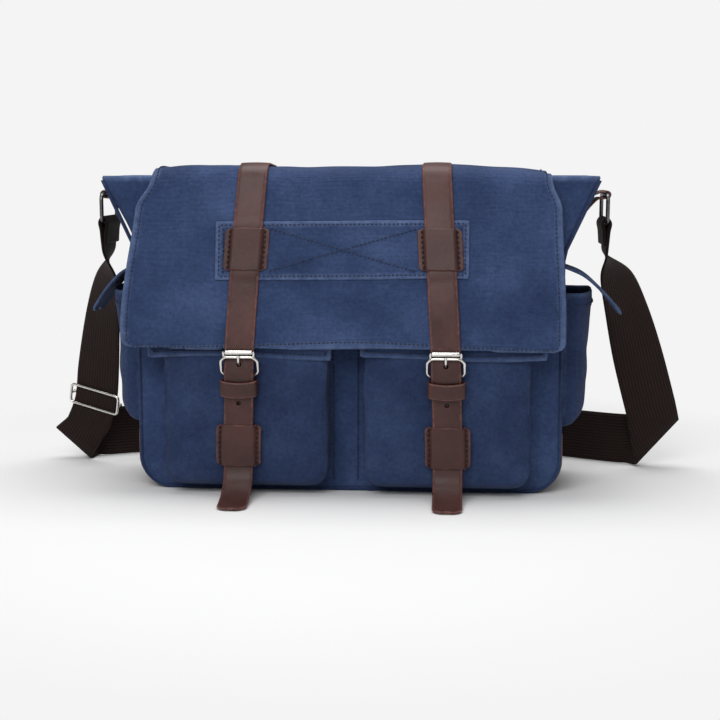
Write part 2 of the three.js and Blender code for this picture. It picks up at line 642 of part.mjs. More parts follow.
function buildSidePockets() {
  bothSides((hand, side) => {
    const inside = HALF + GAP;
    const outer = HALF + SIDE_POCKET_BULGE;
    const half = SIDE_POCKET_DEPTH / 2;
    const slope = 7;
    const round = 12;
    const plan = (grow) => outline([
      [inside - (grow ? 1 : 0), -half + grow], [outer - round, -half + grow],
      [outer - round / 3.4 - grow * 0.7, -half + round / 3.4 + grow * 0.7],
      [outer - grow, -half + round], [outer - grow, half - round],
      [outer - round / 3.4 - grow * 0.7, half - round / 3.4 - grow * 0.7],
      [outer - round, half - grow], [inside - (grow ? 1 : 0), half - grow],
    ]);
    const height = SIDE_POCKET_TOP - SIDE_POCKET_BOTTOM;
    const shell = extruded(plan(0), height);
    const hollow = extruded(plan(POCKET_CLOTH), height).translate(0, 0, POCKET_CLOTH);
    const pocket = cut(shell, hollow).translate(0, 0, SIDE_POCKET_BOTTOM);
    warped(pocket, (point) => {
      const low = Math.max(1 - (point.z - SIDE_POCKET_BOTTOM) / 20, 0);
      point.x -= low * slope * (point.x - inside) / (outer - inside);
    });
    if (side < 0) pocket.rotateZ(Math.PI);
    add(`side_pocket_${hand}`, pocket, CLOTH);

    const root = HALF + 0.9;
    const reach = SIDE_FLAP_REACH[hand];
    const top = SIDE_POCKET_TOP + SIDE_FLAP_RISE;
    const section = new THREE.Shape();
    section.moveTo(root, top - SIDE_FLAP);
    section.lineTo(root + reach * 0.55, top - SIDE_FLAP - SIDE_FLAP_DROP * 0.42);
    section.lineTo(root + reach - 2, top - SIDE_FLAP_DROP);
    section.lineTo(root + reach, top - SIDE_FLAP_DROP + 2);
    section.lineTo(root + reach * 0.55 + 1, top - SIDE_FLAP_DROP * 0.42);
    section.lineTo(root, top);
    section.closePath();
    const front = SIDE_FLAP_Y - SIDE_FLAP_WIDTH / 2;
    const flap = side > 0
      ? throughY(section, front, front + SIDE_FLAP_WIDTH)
      : throughY(section, -front - SIDE_FLAP_WIDTH, -front).rotateZ(Math.PI);
    add(`side_pocket_flap_${hand}`, flap, CLOTH);
  });
}

// ---------------------------------------------------------------- rings and shoulder strap

const RING_Z = BODY_HEIGHT - RING_TOP_DROP;
const RING_Y = 15; // the rings hang a little behind the middle of the gusset
const RING_BORE = RING_WIRE * 0.72 + GAP;
const ringPlace = (() => {
  const rise = (RING_Z / BODY_HEIGHT - FLARE_START) / (1 - FLARE_START);
  return HALF + RIM_FLARE * rise + RING_BORE + 2 * TAB + TAB_REACH;
})();

function buildRings() {
  const eyeOut = RING_BORE + TAB;
  bothSides((hand, side) => {
    const bottom = BODY_HEIGHT * FLARE_START + 4;
    const run = (z) => HALF + RIM_FLARE * (z / BODY_HEIGHT - FLARE_START) / (1 - FLARE_START);
    const strip = new THREE.Shape();
    strip.moveTo(run(bottom) + GAP, bottom);
    strip.lineTo(run(bottom) + GAP + TAB, bottom);
    strip.lineTo(run(RING_Z + 4) + GAP + TAB, RING_Z + 4);
    strip.lineTo(run(RING_Z + 4) + GAP, RING_Z + 4);
    strip.closePath();
    const tab = throughY(strip, -TAB_WIDTH / 2, TAB_WIDTH / 2);
    const tongue = box(run(RING_Z) + GAP + TAB / 2, ringPlace - RING_BORE - TAB / 2,
      -TAB_WIDTH / 2, TAB_WIDTH / 2, RING_Z - TAB, RING_Z + TAB);
    const eye = new THREE.CylinderGeometry(eyeOut, eyeOut, TAB_WIDTH, 16).translate(ringPlace, 0, RING_Z);
    const bore = new THREE.CylinderGeometry(RING_BORE, RING_BORE, TAB_WIDTH + 2, 16)
      .translate(ringPlace, 0, RING_Z);
    const whole = cut(join(tab, tongue, eye), bore);
    if (side < 0) whole.rotateZ(Math.PI);
    add(`ring_tab_${hand}`, whole.translate(0, RING_Y, 0), LEATHER);

    const halfRing = WEBBING_WIDTH / 2 + GAP + 0.7 + RING_WIRE / 2;
    const out = RING_WIRE / 2;
    const loop = new THREE.Shape();
    const corner = (shape, h, z0, z1, r, clockwise) => {
      const points = [[-h + r, z0], [h - r, z0], [h, z0 + r], [h, z1 - r], [h - r, z1],
        [-h + r, z1], [-h, z1 - r], [-h, z0 + r]];
      const ordered = clockwise ? points.reverse() : points;
      ordered.forEach(([u, v], i) => (i ? shape.lineTo(u, v) : shape.moveTo(u, v)));
      shape.closePath();
      return shape;
    };
    corner(loop, halfRing + out, -RING_HEIGHT - out, out, 2.5, false);
    loop.holes.push(corner(new THREE.Path(), halfRing - out, -RING_HEIGHT + out, -out, 1, true));
    const ring = throughY(loop, -out * 0.9, out * 0.9).rotateZ(Math.PI / 2)
      .translate(side * ringPlace, RING_Y, RING_Z);
    add(`strap_ring_${hand}`, ring, GUNMETAL);
  });
}

const BOTTOM_BAR_Z = RING_Z - RING_HEIGHT;
const LOOP_TAIL = 22; // the folded and stitched end of the webbing, below the ring's bar
const LOOP_END_Z = BOTTOM_BAR_Z - LOOP_TAIL;

// Stations of the shoulder strap, right side as listed: where it is and which way its width lies.
const HALF_WEB = WEBBING_WIDTH / 2 + 0.8;
const RUN_STEPS = 14;
const rightRun = [
  { at: [ringPlace, RING_Y, LOOP_END_Z - 1], across: [0, 1, 0] },
  { at: [ringPlace, RING_Y, LOOP_END_Z - 9], across: [0, 1, 0] },
  { at: [ringPlace + 16, 36, 197], across: [0.66, 0.72, 0] },
  { at: [ringPlace + 27, 46, 160], across: [0.84, 0.52, 0] },
  { at: [ringPlace + 42, 57, 108], across: [0.98, 0.2, 0] },
  { at: [ringPlace + 56, 66, 58], across: [0.99, 0.12, 0] },
  { at: [ringPlace + 62, 70, 34], across: [0.99, 0.1, 0] },
];
const leftRun = [
  { at: [ringPlace, RING_Y, LOOP_END_Z - 1], across: [0, 1, 0] },
  { at: [ringPlace, RING_Y, LOOP_END_Z - 9], across: [0, 1, 0] },
  { at: [ringPlace + 11, 34, 190], across: [0.6, 0.8, 0] },
  { at: [ringPlace + 18, 44, 155], across: [0.75, 0.66, 0] },
  { at: [ringPlace + 25, 52, 100], across: [0.92, 0.38, 0] },
  { at: [ringPlace + 30, 57, 65], across: [0.94, 0.34, 0] },
  { at: [ringPlace + 35, 61.5, 35], across: [0.95, 0.31, 0] },
  { at: [ringPlace + 42, 65, 30], across: [0.96, 0.28, 0] },
];
const backRun = [
  { at: [ringPlace + 79, 74, HALF_WEB], across: [0, 0, 1] },
  { at: [ringPlace + 55, 78, HALF_WEB], across: [0, 0, 1] },
  { at: [ringPlace + 25, 88, HALF_WEB], across: [0, 0, 1] },
  { at: [ringPlace - 12, 106, HALF_WEB], across: [0, 0, 1] },
  { at: [ringPlace - 67, 136, HALF_WEB], across: [0, 0, 1] },
  { at: [ringPlace - 147, 162, HALF_WEB], across: [0, 0, 1] },
];

const mirrored = (stations) => stations.map(({ at, across }) => (
  { at: [-at[0], at[1], at[2]], across: [-across[0], across[1], across[2]] }));

// The webbing leaves its stitched end level and squares up over this drop.
const levelAtEnd = (point) => Math.min(Math.max(1 - (LOOP_END_Z - point.z) / 60, 0), 1);

function buildShoulderStrap() {
  add("shoulder_strap_right", ribbon(smoothed(rightRun, RUN_STEPS), WEBBING_WIDTH, WEBBING,
    levelAtEnd), WEB);
  add("shoulder_strap_left", ribbon(smoothed(mirrored(leftRun), RUN_STEPS), WEBBING_WIDTH,
    WEBBING, levelAtEnd), WEB);
  const round = [...backRun, ...mirrored(backRun).reverse()];
  add("shoulder_strap_back", ribbon(smoothed(round, 2 * RUN_STEPS), WEBBING_WIDTH, WEBBING), WEB);

  const eyeIn = RING_BORE;
  const eyeOut = eyeIn + WEBBING;
  bothSides((hand, side) => {
    const layers = box(side * ringPlace - WEBBING, side * ringPlace + WEBBING,
      -WEBBING_WIDTH / 2, WEBBING_WIDTH / 2, LOOP_END_Z, BOTTOM_BAR_Z - eyeIn);
    const eye = new THREE.CylinderGeometry(eyeOut, eyeOut, WEBBING_WIDTH, 16)
      .translate(side * ringPlace, 0, BOTTOM_BAR_Z);
    const bore = new THREE.CylinderGeometry(eyeIn, eyeIn, WEBBING_WIDTH + 2, 16)
      .translate(side * ringPlace, 0, BOTTOM_BAR_Z);
    add(`strap_end_loop_${hand}`, cut(join(layers, eye), bore).translate(0, RING_Y, 0), WEB);
  });
}

function buildSlider() {
  const [before, station, after] = mirrored(leftRun).slice(4, 7);
  const along = new THREE.Vector3(...after.at).sub(new THREE.Vector3(...before.at)).normalize();
  const across = new THREE.Vector3(...station.across);
  across.addScaledVector(along, -across.dot(along)).normalize();
  const face = along.clone().cross(across);
  const inner = WEBBING_WIDTH / 2 + 1.4;
  const half = inner + SLIDER_BAR;
  const depth = WEBBING / 2 + 1.3;
  const bars = [-1, 0, 1].map((row) => {
    const centre = row * (SLIDER_HEIGHT - SLIDER_BAR) / 2;
    return box(-half, half, depth, depth + SLIDER_BAR,
      centre - SLIDER_BAR / 2, centre + SLIDER_BAR / 2);
  });
  const rails = [-1, 1].map((end) => {
    const [a, b] = end > 0 ? [inner, half] : [-half, -inner];
    return box(a, b, -depth - SLIDER_BAR, depth + SLIDER_BAR, -SLIDER_HEIGHT / 2, SLIDER_HEIGHT / 2);
  });
  const rear = box(-half, half, -depth - SLIDER_BAR, -depth, -SLIDER_BAR / 2, SLIDER_BAR / 2);
  const slider = join(...bars, ...rails, rear);
  const basis = new THREE.Matrix4().makeBasis(across, face, across.clone().cross(face));
  basis.setPosition(new THREE.Vector3(...station.at));
  add("strap_slider", slider.applyMatrix4(basis), NICKEL);
}

// ---------------------------------------------------------------- assembly

buildBody();
buildInside();
buildFlap();
buildFlapStraps();
buildFrontPockets();
buildSnaps();
bothSides((hand, side) => {
  buildTongue(hand, side);
  buildChape(hand, side);
  buildBuckle(hand, side);
  buildKeepers(hand, side);
});
buildSidePockets();
buildRings();
buildShoulderStrap();
buildSlider();

export default bag;
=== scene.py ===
# %% [markdown]
# # A washed canvas messenger bag
# The bag is a soft canvas box with a big flap, two leather closure straps with roller
# buckles, four outside pockets and a wide webbing shoulder strap. It could be sculpted by
# hand as one body, but each sewn piece here is its own mesh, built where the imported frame
# says, so that the flap can lift and the buckles can swing.

# %% Load the frame
import math

import bpy
import numpy as np
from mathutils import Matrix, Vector, noise


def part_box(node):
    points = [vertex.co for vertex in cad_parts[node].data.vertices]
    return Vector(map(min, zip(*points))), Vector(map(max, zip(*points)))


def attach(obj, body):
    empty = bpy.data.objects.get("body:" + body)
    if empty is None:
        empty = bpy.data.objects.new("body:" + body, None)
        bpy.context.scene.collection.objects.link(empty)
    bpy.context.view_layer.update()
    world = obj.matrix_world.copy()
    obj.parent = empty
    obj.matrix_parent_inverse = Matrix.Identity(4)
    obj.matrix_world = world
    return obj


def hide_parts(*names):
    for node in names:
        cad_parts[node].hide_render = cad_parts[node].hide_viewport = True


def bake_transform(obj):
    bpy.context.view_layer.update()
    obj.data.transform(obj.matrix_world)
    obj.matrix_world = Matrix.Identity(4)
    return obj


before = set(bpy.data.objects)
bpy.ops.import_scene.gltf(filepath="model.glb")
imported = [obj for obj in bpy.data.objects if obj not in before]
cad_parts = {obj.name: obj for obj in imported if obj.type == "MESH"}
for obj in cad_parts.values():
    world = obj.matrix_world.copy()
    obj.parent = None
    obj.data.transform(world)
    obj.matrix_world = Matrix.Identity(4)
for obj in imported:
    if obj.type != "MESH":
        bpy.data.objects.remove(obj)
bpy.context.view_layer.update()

# %% [markdown]
# Almost everything sewn is a sheet with a thickness: a grid of points seen from outside,
# an inner copy of it, and a rounded edge that joins the two. One helper builds all of them
# as closed solids. Solidify could do it too, but writing the points keeps the edge distance,
# which later lets the cloth fade along its hems.

# %% Sheets with a rounded edge
MM = 0.001


def ease(t):
    t = np.clip(t, 0.0, 1.0)
    return t * t * (3 - 2 * t)


def crease(a, b, size, seed):
    """Smooth noise from -1 to 1 over two coordinates, in metres."""
    flat = [noise.noise(Vector((p / size, q / size, seed)))
            for p, q in zip(np.ravel(a), np.ravel(b))]
    return np.reshape(flat, np.shape(a)) * 1.6


def lengths(points, axis):
    step = np.linalg.norm(np.diff(points, axis=axis), axis=-1)
    pad = [(0, 0), (0, 0)]
    pad[axis] = (1, 0)
    return np.pad(np.cumsum(step, axis=axis), pad)


def edge_distance(points, closed=False):
    """How far each point of a grid is from the sheet's nearest edge."""
    along = lengths(points, 1)
    near = np.minimum(along, along[:, -1:] - along)
    if not closed:
        over = lengths(points, 0)
        near = np.minimum(near, np.minimum(over, over[-1:] - over))
    return near


def directions(points, closed=False):
    """Unit vectors along the rows, along the columns, and out of a grid."""
    if closed:
        du = np.roll(points, -1, 0) - np.roll(points, 1, 0)
    else:
        du = np.gradient(points, axis=0)
    dv = np.gradient(points, axis=1)
    out = np.cross(du, dv)
    unit = lambda a: a / np.maximum(np.linalg.norm(a, axis=-1, keepdims=True), 1e-9)
    return unit(du), unit(dv), unit(out)


PIECES = {}


def new_piece(name, verts, faces, material, wear=None, uv=None):
    """A mesh object whose name says that it was made here, and isn't the frame's own node."""
    mesh = bpy.data.meshes.new(name)
    mesh.from_pydata([tuple(v) for v in verts], [], faces)
    mesh.polygons.foreach_set("use_smooth", [True] * len(mesh.polygons))
    mesh.materials.append(material)
    if wear is not None:
        mesh.attributes.new("wear", "FLOAT", "POINT").data.foreach_set(
            "value", np.asarray(wear, np.float32))
    if uv is not None:
        corner = np.empty(len(mesh.loops), int)
        mesh.loops.foreach_get("vertex_index", corner)
        layer = mesh.uv_layers.new(name="cloth")
        layer.data.foreach_set("uv", np.asarray(uv, np.float32)[corner].ravel())
    piece = bpy.data.objects.new("made_" + name, mesh)
    bpy.context.scene.collection.objects.link(piece)
    PIECES[name] = piece
    return piece


def sheet_piece(name, middle, thickness, material, worn=0.004, closed=False, hem=0.0,
                hem_width=0.009, seam=None):
    """A closed solid round a grid of points; the grid's rows run so that it faces outwards."""
    points = np.asarray(middle, float)
    across, along, out = directions(points, closed)
    near = edge_distance(points, closed)
    half = np.full(points.shape[:2] + (1,), thickness / 2)
    sunk = np.exp(-((near - seam) / 0.0016) ** 2) if seam else 0 * near
    raised = half + (hem * (1 - ease((near - hem_width) / 0.0015)) - 0.2 * MM * sunk)[..., None]
    front, back = points + out * raised, points - out * half
    columns, rows = points.shape[:2]
    index = np.arange(columns * rows).reshape(columns, rows)
    inner = index + columns * rows
    verts = np.concatenate([front.reshape(-1, 3), back.reshape(-1, 3)])
    wear = np.clip(np.exp(-near / worn) + 0.55 * sunk, 0, 1)
    over, down = lengths(points, 0), lengths(points, 1)
    uv = np.stack([over, down], -1).reshape(-1, 2)
    last = columns if closed else columns - 1
    faces = []
    for i in range(last):
        k = (i + 1) % columns
        for j in range(rows - 1):
            faces.append((index[i, j], index[k, j], index[k, j + 1], index[i, j + 1]))
            faces.append((inner[i, j + 1], inner[k, j + 1], inner[k, j], inner[i, j]))
    if closed:
        loops = [[(i, 0, -along[i, 0]) for i in range(columns)],
                 [(i, rows - 1, along[i, -1]) for i in range(columns - 1, -1, -1)]]
    else:
        loop = [(i, 0, -along[i, 0]) for i in range(columns)]
        loop += [(columns - 1, j, across[-1, j]) for j in range(1, rows)]
        loop += [(i, rows - 1, along[i, -1]) for i in range(columns - 2, -1, -1)]
        loop += [(0, j, -across[0, j]) for j in range(rows - 2, 0, -1)]
        loops = [loop]
    rim, rim_wear, rim_uv = [], [], []
    for loop in loops:
        first = len(verts) + len(rim)
        for i, j, away in loop:
            centre = (front[i, j] + back[i, j]) / 2
            rim.append(centre + away * float(raised[i, j, 0]) * 0.8)
            rim_wear.append(1.0)
            rim_uv.append(uv[index[i, j]])
        for n, (i, j, _) in enumerate(loop):
            k, m, _ = loop[(n + 1) % len(loop)]
            a, b = first + n, first + (n + 1) % len(loop)
            faces.append((a, b, index[k, m], index[i, j]))
            faces.append((inner[i, j], inner[k, m], b, a))
    verts = np.concatenate([verts, np.array(rim)])
    wear = np.concatenate([wear.ravel(), wear.ravel(), rim_wear])
    uv = np.concatenate([uv, uv, np.array(rim_uv)])
    faces = [tuple(int(v) for v in face) for face in faces]
    return new_piece(name, verts, faces, material, wear, uv)


# %% [markdown]
# The finishes come next. Each is a small network of noise and waves on Object coordinates,
# so that it stays put on the piece and needs no picture. A helper adds nodes in one line each.

# %% A helper for node materials
class Finish:
    def __init__(self, name, roughness=0.8, metallic=0.0):
        self.material = bpy.data.materials.new(name)
        self.material.use_nodes = True
        self.nodes = self.material.node_tree.nodes
        self.links = self.material.node_tree.links
        self.shader = self.nodes["Principled BSDF"]
        self.shader.inputs["Roughness"].default_value = roughness
        self.shader.inputs["Metallic"].default_value = metallic
        self.place = self.add("ShaderNodeTexCoord").outputs["Object"]

    def add(self, kind, wires=None, **settings):
        node = self.nodes.new(kind)
        for key, value in settings.items():
            setattr(node, key, value)
        for key, value in (wires or {}).items():
            socket = node.inputs[key]
            if isinstance(value, bpy.types.NodeSocket):
                self.links.new(value, socket)
            else:
                socket.default_value = value
        return node

    def noise(self, size, detail=4.0, rough=0.6):
        return self.add("ShaderNodeTexNoise", {"Vector": self.place, "Scale": 1 / size,
                        "Detail": detail, "Roughness": rough}).outputs["Fac"]

    def wave(self, direction, period, distort=0.6, vector=None):
        wires = {"Vector": vector or self.place, "Scale": 0.314 / period,
                 "Distortion": distort, "Detail": 1.0}
        return self.add("ShaderNodeTexWave", wires, wave_type="BANDS",
                        bands_direction=direction).outputs["Fac"]

    def ramp(self, value, *stops):
        node = self.add("ShaderNodeValToRGB", {"Fac": value})
        band = node.color_ramp
        for n, (position, colour) in enumerate(stops):
            stop = band.elements[n] if n < 2 else band.elements.new(position)
            stop.position, stop.color = position, (*colour, 1)
        return node.outputs["Color"]

    def math(self, operation, a, b=0.0):
        return self.add("ShaderNodeMath", {0: a, 1: b}, operation=operation).outputs[0]

    def mix(self, share, a, b, blend="MIX"):
        wires = {"Factor": share}
        node = self.add("ShaderNodeMix", wires, data_type="RGBA", blend_type=blend)
        for socket, value in ((node.inputs[6], a), (node.inputs[7], b)):
            if isinstance(value, bpy.types.NodeSocket):
                self.links.new(value, socket)
            else:
                socket.default_value = (*value, 1)
        return node.outputs[2]

    def attribute(self, name):
        return self.add("ShaderNodeAttribute", attribute_name=name).outputs["Fac"]

    def wire(self, socket, value):
        self.links.new(value, self.shader.inputs[socket])

    def bump(self, height, depth, strength=0.6, under=None):
        wires = {"Height": height, "Distance": depth, "Strength": strength}
        if under is not None:
            wires["Normal"] = under
        return self.add("ShaderNodeBump", wires).outputs["Normal"]


# %% [markdown]
# Washed canvas is dark blue yarn whose colour has rubbed off the high spots. Large soft
# clouds, small speckles and a plain weave make the field, and the rubbed colour is mixed in
# where the wear attribute says that an edge or a seam is near.

# %% Washed canvas
def canvas_finish(name, dark, middle, light, rubbed):
    cloth = Finish(name, roughness=0.88)
    clouds = cloth.math("MULTIPLY", cloth.noise(0.07, 5, 0.62), 0.62)
    specks = cloth.math("MULTIPLY", cloth.noise(0.0032, 5, 0.75), 0.38)
    field = cloth.math("ADD", clouds, specks)
    colour = cloth.ramp(field, (0.36, dark), (0.5, middle), (0.66, light))
    weave = cloth.math("ADD", cloth.wave("X", 0.0011), cloth.wave("Z", 0.0012))
    weave = cloth.math("ADD", weave, cloth.wave("Y", 0.0012))
    threads = cloth.ramp(weave, (0.2, (0.62, 0.62, 0.62)), (1.0, (1.0, 1.0, 1.0)))
    colour = cloth.mix(0.45, colour, threads, "MULTIPLY")
    rub = cloth.math("MULTIPLY", cloth.attribute("wear"), cloth.noise(0.009, 4, 0.7))
    rub = cloth.ramp(rub, (0.18, (0, 0, 0)), (0.62, (0.85, 0.85, 0.85)))
    cloth.wire("Base Color", cloth.mix(rub, colour, rubbed))
    puckers = cloth.bump(cloth.noise(0.016, 3, 0.55), 0.0022, 0.5)
    cloth.wire("Normal", cloth.bump(weave, 0.0004, 0.55, puckers))
    cloth.wire("Roughness", cloth.ramp(clouds, (0.2, (0.8,) * 3), (0.5, (0.95,) * 3)))
    cloth.shader.inputs["Sheen Weight"].default_value = 0.05
    cloth.shader.inputs["Sheen Roughness"].default_value = 0.6
    cloth.shader.inputs["Specular IOR Level"].default_value = 0.15
    return cloth.material


CANVAS = canvas_finish("washed_canvas", (0.015, 0.03, 0.086), (0.029, 0.052, 0.13),
                       (0.056, 0.09, 0.2), (0.1, 0.15, 0.29))
# The second canvas is the same cloth made darker with painted shade, for the pockets, their flaps,
# the side pockets and the piping.
SHADED_CANVAS = canvas_finish("deep_canvas", (0.01, 0.02, 0.06), (0.02, 0.037, 0.098),
                            (0.038, 0.064, 0.145), (0.07, 0.11, 0.22))

# %% [markdown]
# The lining is a thinner plain cloth in almost black navy. It needs the weave and a little
# unevenness, and no rubbed edges, because nothing touches it.

# %% Lining cloth and stiffener
def lining_finish(name, colour, sheen):
    cloth = Finish(name, roughness=0.9)
    shade = cloth.ramp(cloth.noise(0.03), (0.3, tuple(0.7 * c for c in colour)), (0.7, colour))
    weave = cloth.math("ADD", cloth.wave("X", 0.0008), cloth.wave("Z", 0.0008))
    cloth.wire("Base Color", shade)
    cloth.wire("Normal", cloth.bump(weave, 0.0003, 0.4))
    cloth.wire("Roughness", cloth.ramp(weave, (0.3, (0.75,) * 3), (1.4, (0.92,) * 3)))
    cloth.shader.inputs["Sheen Weight"].default_value = sheen
    return cloth.material


LINING = lining_finish("lining_cloth", (0.018, 0.026, 0.06), 0.1)
BOARD = lining_finish("stiffener_board", (0.02, 0.02, 0.022), 0.0)

# %% [markdown]
# The leather is waxed pull-up hide: a warm brown that turns paler where it has been bent or
# rubbed, fine pores, and raw cut edges in a lighter pinkish tan. Voronoi cells make the pores.

# %% Leather
def leather_finish(name, dark, light, raw, gloss=0.42):
    hide = Finish(name)
    field = hide.math("ADD", hide.math("MULTIPLY", hide.noise(0.045, 4), 0.7),
                      hide.math("MULTIPLY", hide.noise(0.006, 5, 0.7), 0.3))
    colour = hide.ramp(field, (0.38, dark), (0.64, light))
    edge = hide.math("MULTIPLY", hide.attribute("wear"), hide.noise(0.004, 3, 0.6))
    edge = hide.ramp(edge, (0.25, (0, 0, 0)), (0.6, (0.7, 0.7, 0.7)))
    hide.wire("Base Color", hide.mix(edge, colour, raw))
    pores = hide.add("ShaderNodeTexVoronoi", {"Vector": hide.place, "Scale": 900.0})
    coarse = hide.bump(hide.noise(0.011, 3), 0.0012, 0.35)
    hide.wire("Normal", hide.bump(pores.outputs["Distance"], 0.00022, 0.5, coarse))
    hide.wire("Roughness", hide.ramp(field, (0.35, (gloss,) * 3), (0.65, (gloss + 0.14,) * 3)))
    hide.shader.inputs["Specular IOR Level"].default_value = 0.35
    hide.shader.inputs["Coat Weight"].default_value = 0.08
    hide.shader.inputs["Coat Roughness"].default_value = 0.35
    return hide.material


STRAP_LEATHER = leather_finish("strap_leather", (0.042, 0.015, 0.013), (0.085, 0.033, 0.029),
                               (0.21, 0.085, 0.07))
DARK_LEATHER = leather_finish("dark_leather", (0.034, 0.011, 0.009), (0.066, 0.022, 0.018),
                              (0.19, 0.075, 0.06))
BASE_LEATHER = leather_finish("base_leather", (0.05, 0.018, 0.014), (0.1, 0.04, 0.032),
                              (0.2, 0.09, 0.07), 0.5)

# %% [markdown]
# Webbing is woven on a narrow loom, so its ribs run along the belt and tiny picks run
# across. Both are waves on the belt's own UV map, in metres: U is across and V is along.

# %% Webbing
def webbing_finish():
    belt = Finish("ribbed_webbing", roughness=0.8)
    uv = belt.add("ShaderNodeUVMap", uv_map="cloth").outputs["UV"]
    ribs = belt.wave("X", 0.0031, 0.15, uv)
    picks = belt.wave("Y", 0.0016, 0.8, uv)
    weave = belt.math("ADD", belt.math("MULTIPLY", ribs, 0.65),
                      belt.math("MULTIPLY", picks, 0.35))
    shade = belt.ramp(weave, (0.05, (0.011, 0.006, 0.0055)), (0.9, (0.024, 0.0125, 0.011)))
    dust = belt.ramp(belt.noise(0.02, 5), (0.35, (0.75,) * 3), (0.7, (1.0,) * 3))
    belt.wire("Base Color", belt.mix(0.8, shade, dust, "MULTIPLY"))
    belt.wire("Normal", belt.bump(weave, 0.0004, 0.5))
    belt.shader.inputs["Specular IOR Level"].default_value = 0.15
    belt.wire("Roughness", belt.ramp(weave, (0.1, (0.95,) * 3), (0.9, (0.68,) * 3)))
    belt.shader.inputs["Sheen Weight"].default_value = 0.03
    return belt.material


WEBBING = webbing_finish()

# %% [markdown]
# Two metals: bright nickel on the buckles and slider, and dark gunmetal on the rings and
# snaps. Fine scratches in the roughness keep them from looking like mirrors.

# %% Metals
def metal_finish(name, colour, smooth, scuffed):
    metal = Finish(name, metallic=1.0)
    scuffs = metal.noise(0.0035, 6, 0.7)
    tint = metal.ramp(scuffs, (0.35, tuple(0.82 * c for c in colour)), (0.65, colour))
    metal.wire("Base Color", tint)
    metal.wire("Roughness", metal.ramp(scuffs, (0.35, (smooth,) * 3), (0.7, (scuffed,) * 3)))
    metal.wire("Normal", metal.bump(metal.noise(0.002, 3), 0.00005, 0.4))
    return metal.material


NICKEL = metal_finish("bright_nickel", (0.78, 0.76, 0.73), 0.14, 0.3)
GUNMETAL = metal_finish("gunmetal", (0.16, 0.16, 0.165), 0.25, 0.42)


# %% Thread
def thread_finish(name, dark, light):
    thread = Finish(name, roughness=0.7)
    thread.wire("Base Color", thread.ramp(thread.noise(0.004, 3), (0.35, dark), (0.65, light)))
    thread.wire("Normal", thread.bump(thread.wave("X", 0.0005), 0.0001, 0.5))
    thread.wire("Roughness", thread.ramp(thread.noise(0.01), (0.3, (0.6,) * 3),
                                         (0.7, (0.8,) * 3)))
    return thread.material


BLUE_THREAD = thread_finish("blue_thread", (0.008, 0.014, 0.04), (0.018, 0.03, 0.075))
BROWN_THREAD = thread_finish("brown_thread", (0.008, 0.003, 0.003), (0.02, 0.008, 0.007))
print("finishes", len(bpy.data.materials))

# %% [markdown]
# A tray of plain light comes before the bag, so that every step can be looked at. The
# floor is a pale sheet that takes the soft shadow under the bag and fades, further out, into
# the even backdrop.

# %% Floor, light and camera
BACKDROP = (0.905, 0.905, 0.905)


def pale_floor():
    floor = Finish("pale_floor", roughness=1.0)
    floor.shader.inputs["Base Color"].default_value = (0.84, 0.84, 0.84, 1)
    floor.shader.inputs["Specular IOR Level"].default_value = 0.0
    radius = floor.add("ShaderNodeVectorMath", {0: floor.place}, operation="LENGTH")
    fade = floor.ramp(floor.math("MULTIPLY", radius.outputs["Value"], 1.0),
                      (0.34, (0, 0, 0)), (0.56, (1, 1, 1)))
    plain = floor.add("ShaderNodeEmission", {"Color": (*BACKDROP, 1), "Strength": 1.0})
    join = floor.add("ShaderNodeMixShader", {"Fac": fade})
    floor.links.new(floor.shader.outputs[0], join.inputs[1])
    floor.links.new(plain.outputs[0], join.inputs[2])
    floor.links.new(join.outputs[0], floor.nodes["Material Output"].inputs["Surface"])
    mesh = bpy.data.meshes.new("floor_sheet")
    reach = 4.0
    mesh.from_pydata([(-reach, -reach, 0), (reach, -reach, 0), (reach, reach, 0),
                      (-reach, reach, 0)], [], [(0, 1, 2, 3)])
    mesh.materials.append(floor.material)
    sheet = bpy.data.objects.new("floor_sheet", mesh)
    bpy.context.scene.collection.objects.link(sheet)


def soft_world(fill):
    world = bpy.data.worlds.new("studio")
    bpy.context.scene.world = world
    world.use_nodes = True
    nodes, links = world.node_tree.nodes, world.node_tree.links
    light = nodes["Background"]
    light.inputs["Color"].default_value = (1, 1, 1, 1)
    light.inputs["Strength"].default_value = fill
    seen = nodes.new("ShaderNodeBackground")
    seen.inputs["Color"].default_value = (*BACKDROP, 1)
    rays = nodes.new("ShaderNodeLightPath")
    join = nodes.new("ShaderNodeMixShader")
    links.new(rays.outputs["Is Camera Ray"], join.inputs["Fac"])
    links.new(light.outputs[0], join.inputs[1])
    links.new(seen.outputs[0], join.inputs[2])
    links.new(join.outputs[0], nodes["World Output"].inputs["Surface"])


def softbox(name, place, aim, size, power):
    lamp = bpy.data.lights.new(name, "AREA")
    lamp.shape, lamp.size, lamp.size_y, lamp.energy = "RECTANGLE", size[0], size[1], power
    light = bpy.data.objects.new(name, lamp)
    light.location = place
    light.rotation_euler = (Vector(aim) - Vector(place)).to_track_quat("-Z", "Y").to_euler()
    bpy.context.scene.collection.objects.link(light)


def place_camera(azimuth, elevation, distance, view, target):
    camera = bpy.data.cameras.new("view")
    camera.sensor_width, camera.angle = 36.0, math.radians(view)
    around, above = math.radians(azimuth), math.radians(elevation)
    back = Vector((math.sin(around) * math.cos(above), -math.cos(around) * math.cos(above),
                   math.sin(above)))
    eye = bpy.data.objects.new("view", camera)
    eye.location = Vector(target) + back * distance
    eye.rotation_euler = (-back).to_track_quat("-Z", "Y").to_euler()
    bpy.context.scene.collection.objects.link(eye)
    bpy.context.scene.camera = eye


pale_floor()
soft_world(0.3)
softbox("overhead", (0.0, 0.1, 1.6), (0, 0, 0.1), (1.3, 0.9), 18)
softbox("front_fill", (-0.3, -1.6, 1.3), (0, 0, 0.15), (1.4, 1.0), 19)
place_camera(4.10, 8.22, 1.2766, 30.27, (0.0072, 0, 0.1156))
bpy.context.scene.view_settings.view_transform = "Standard"

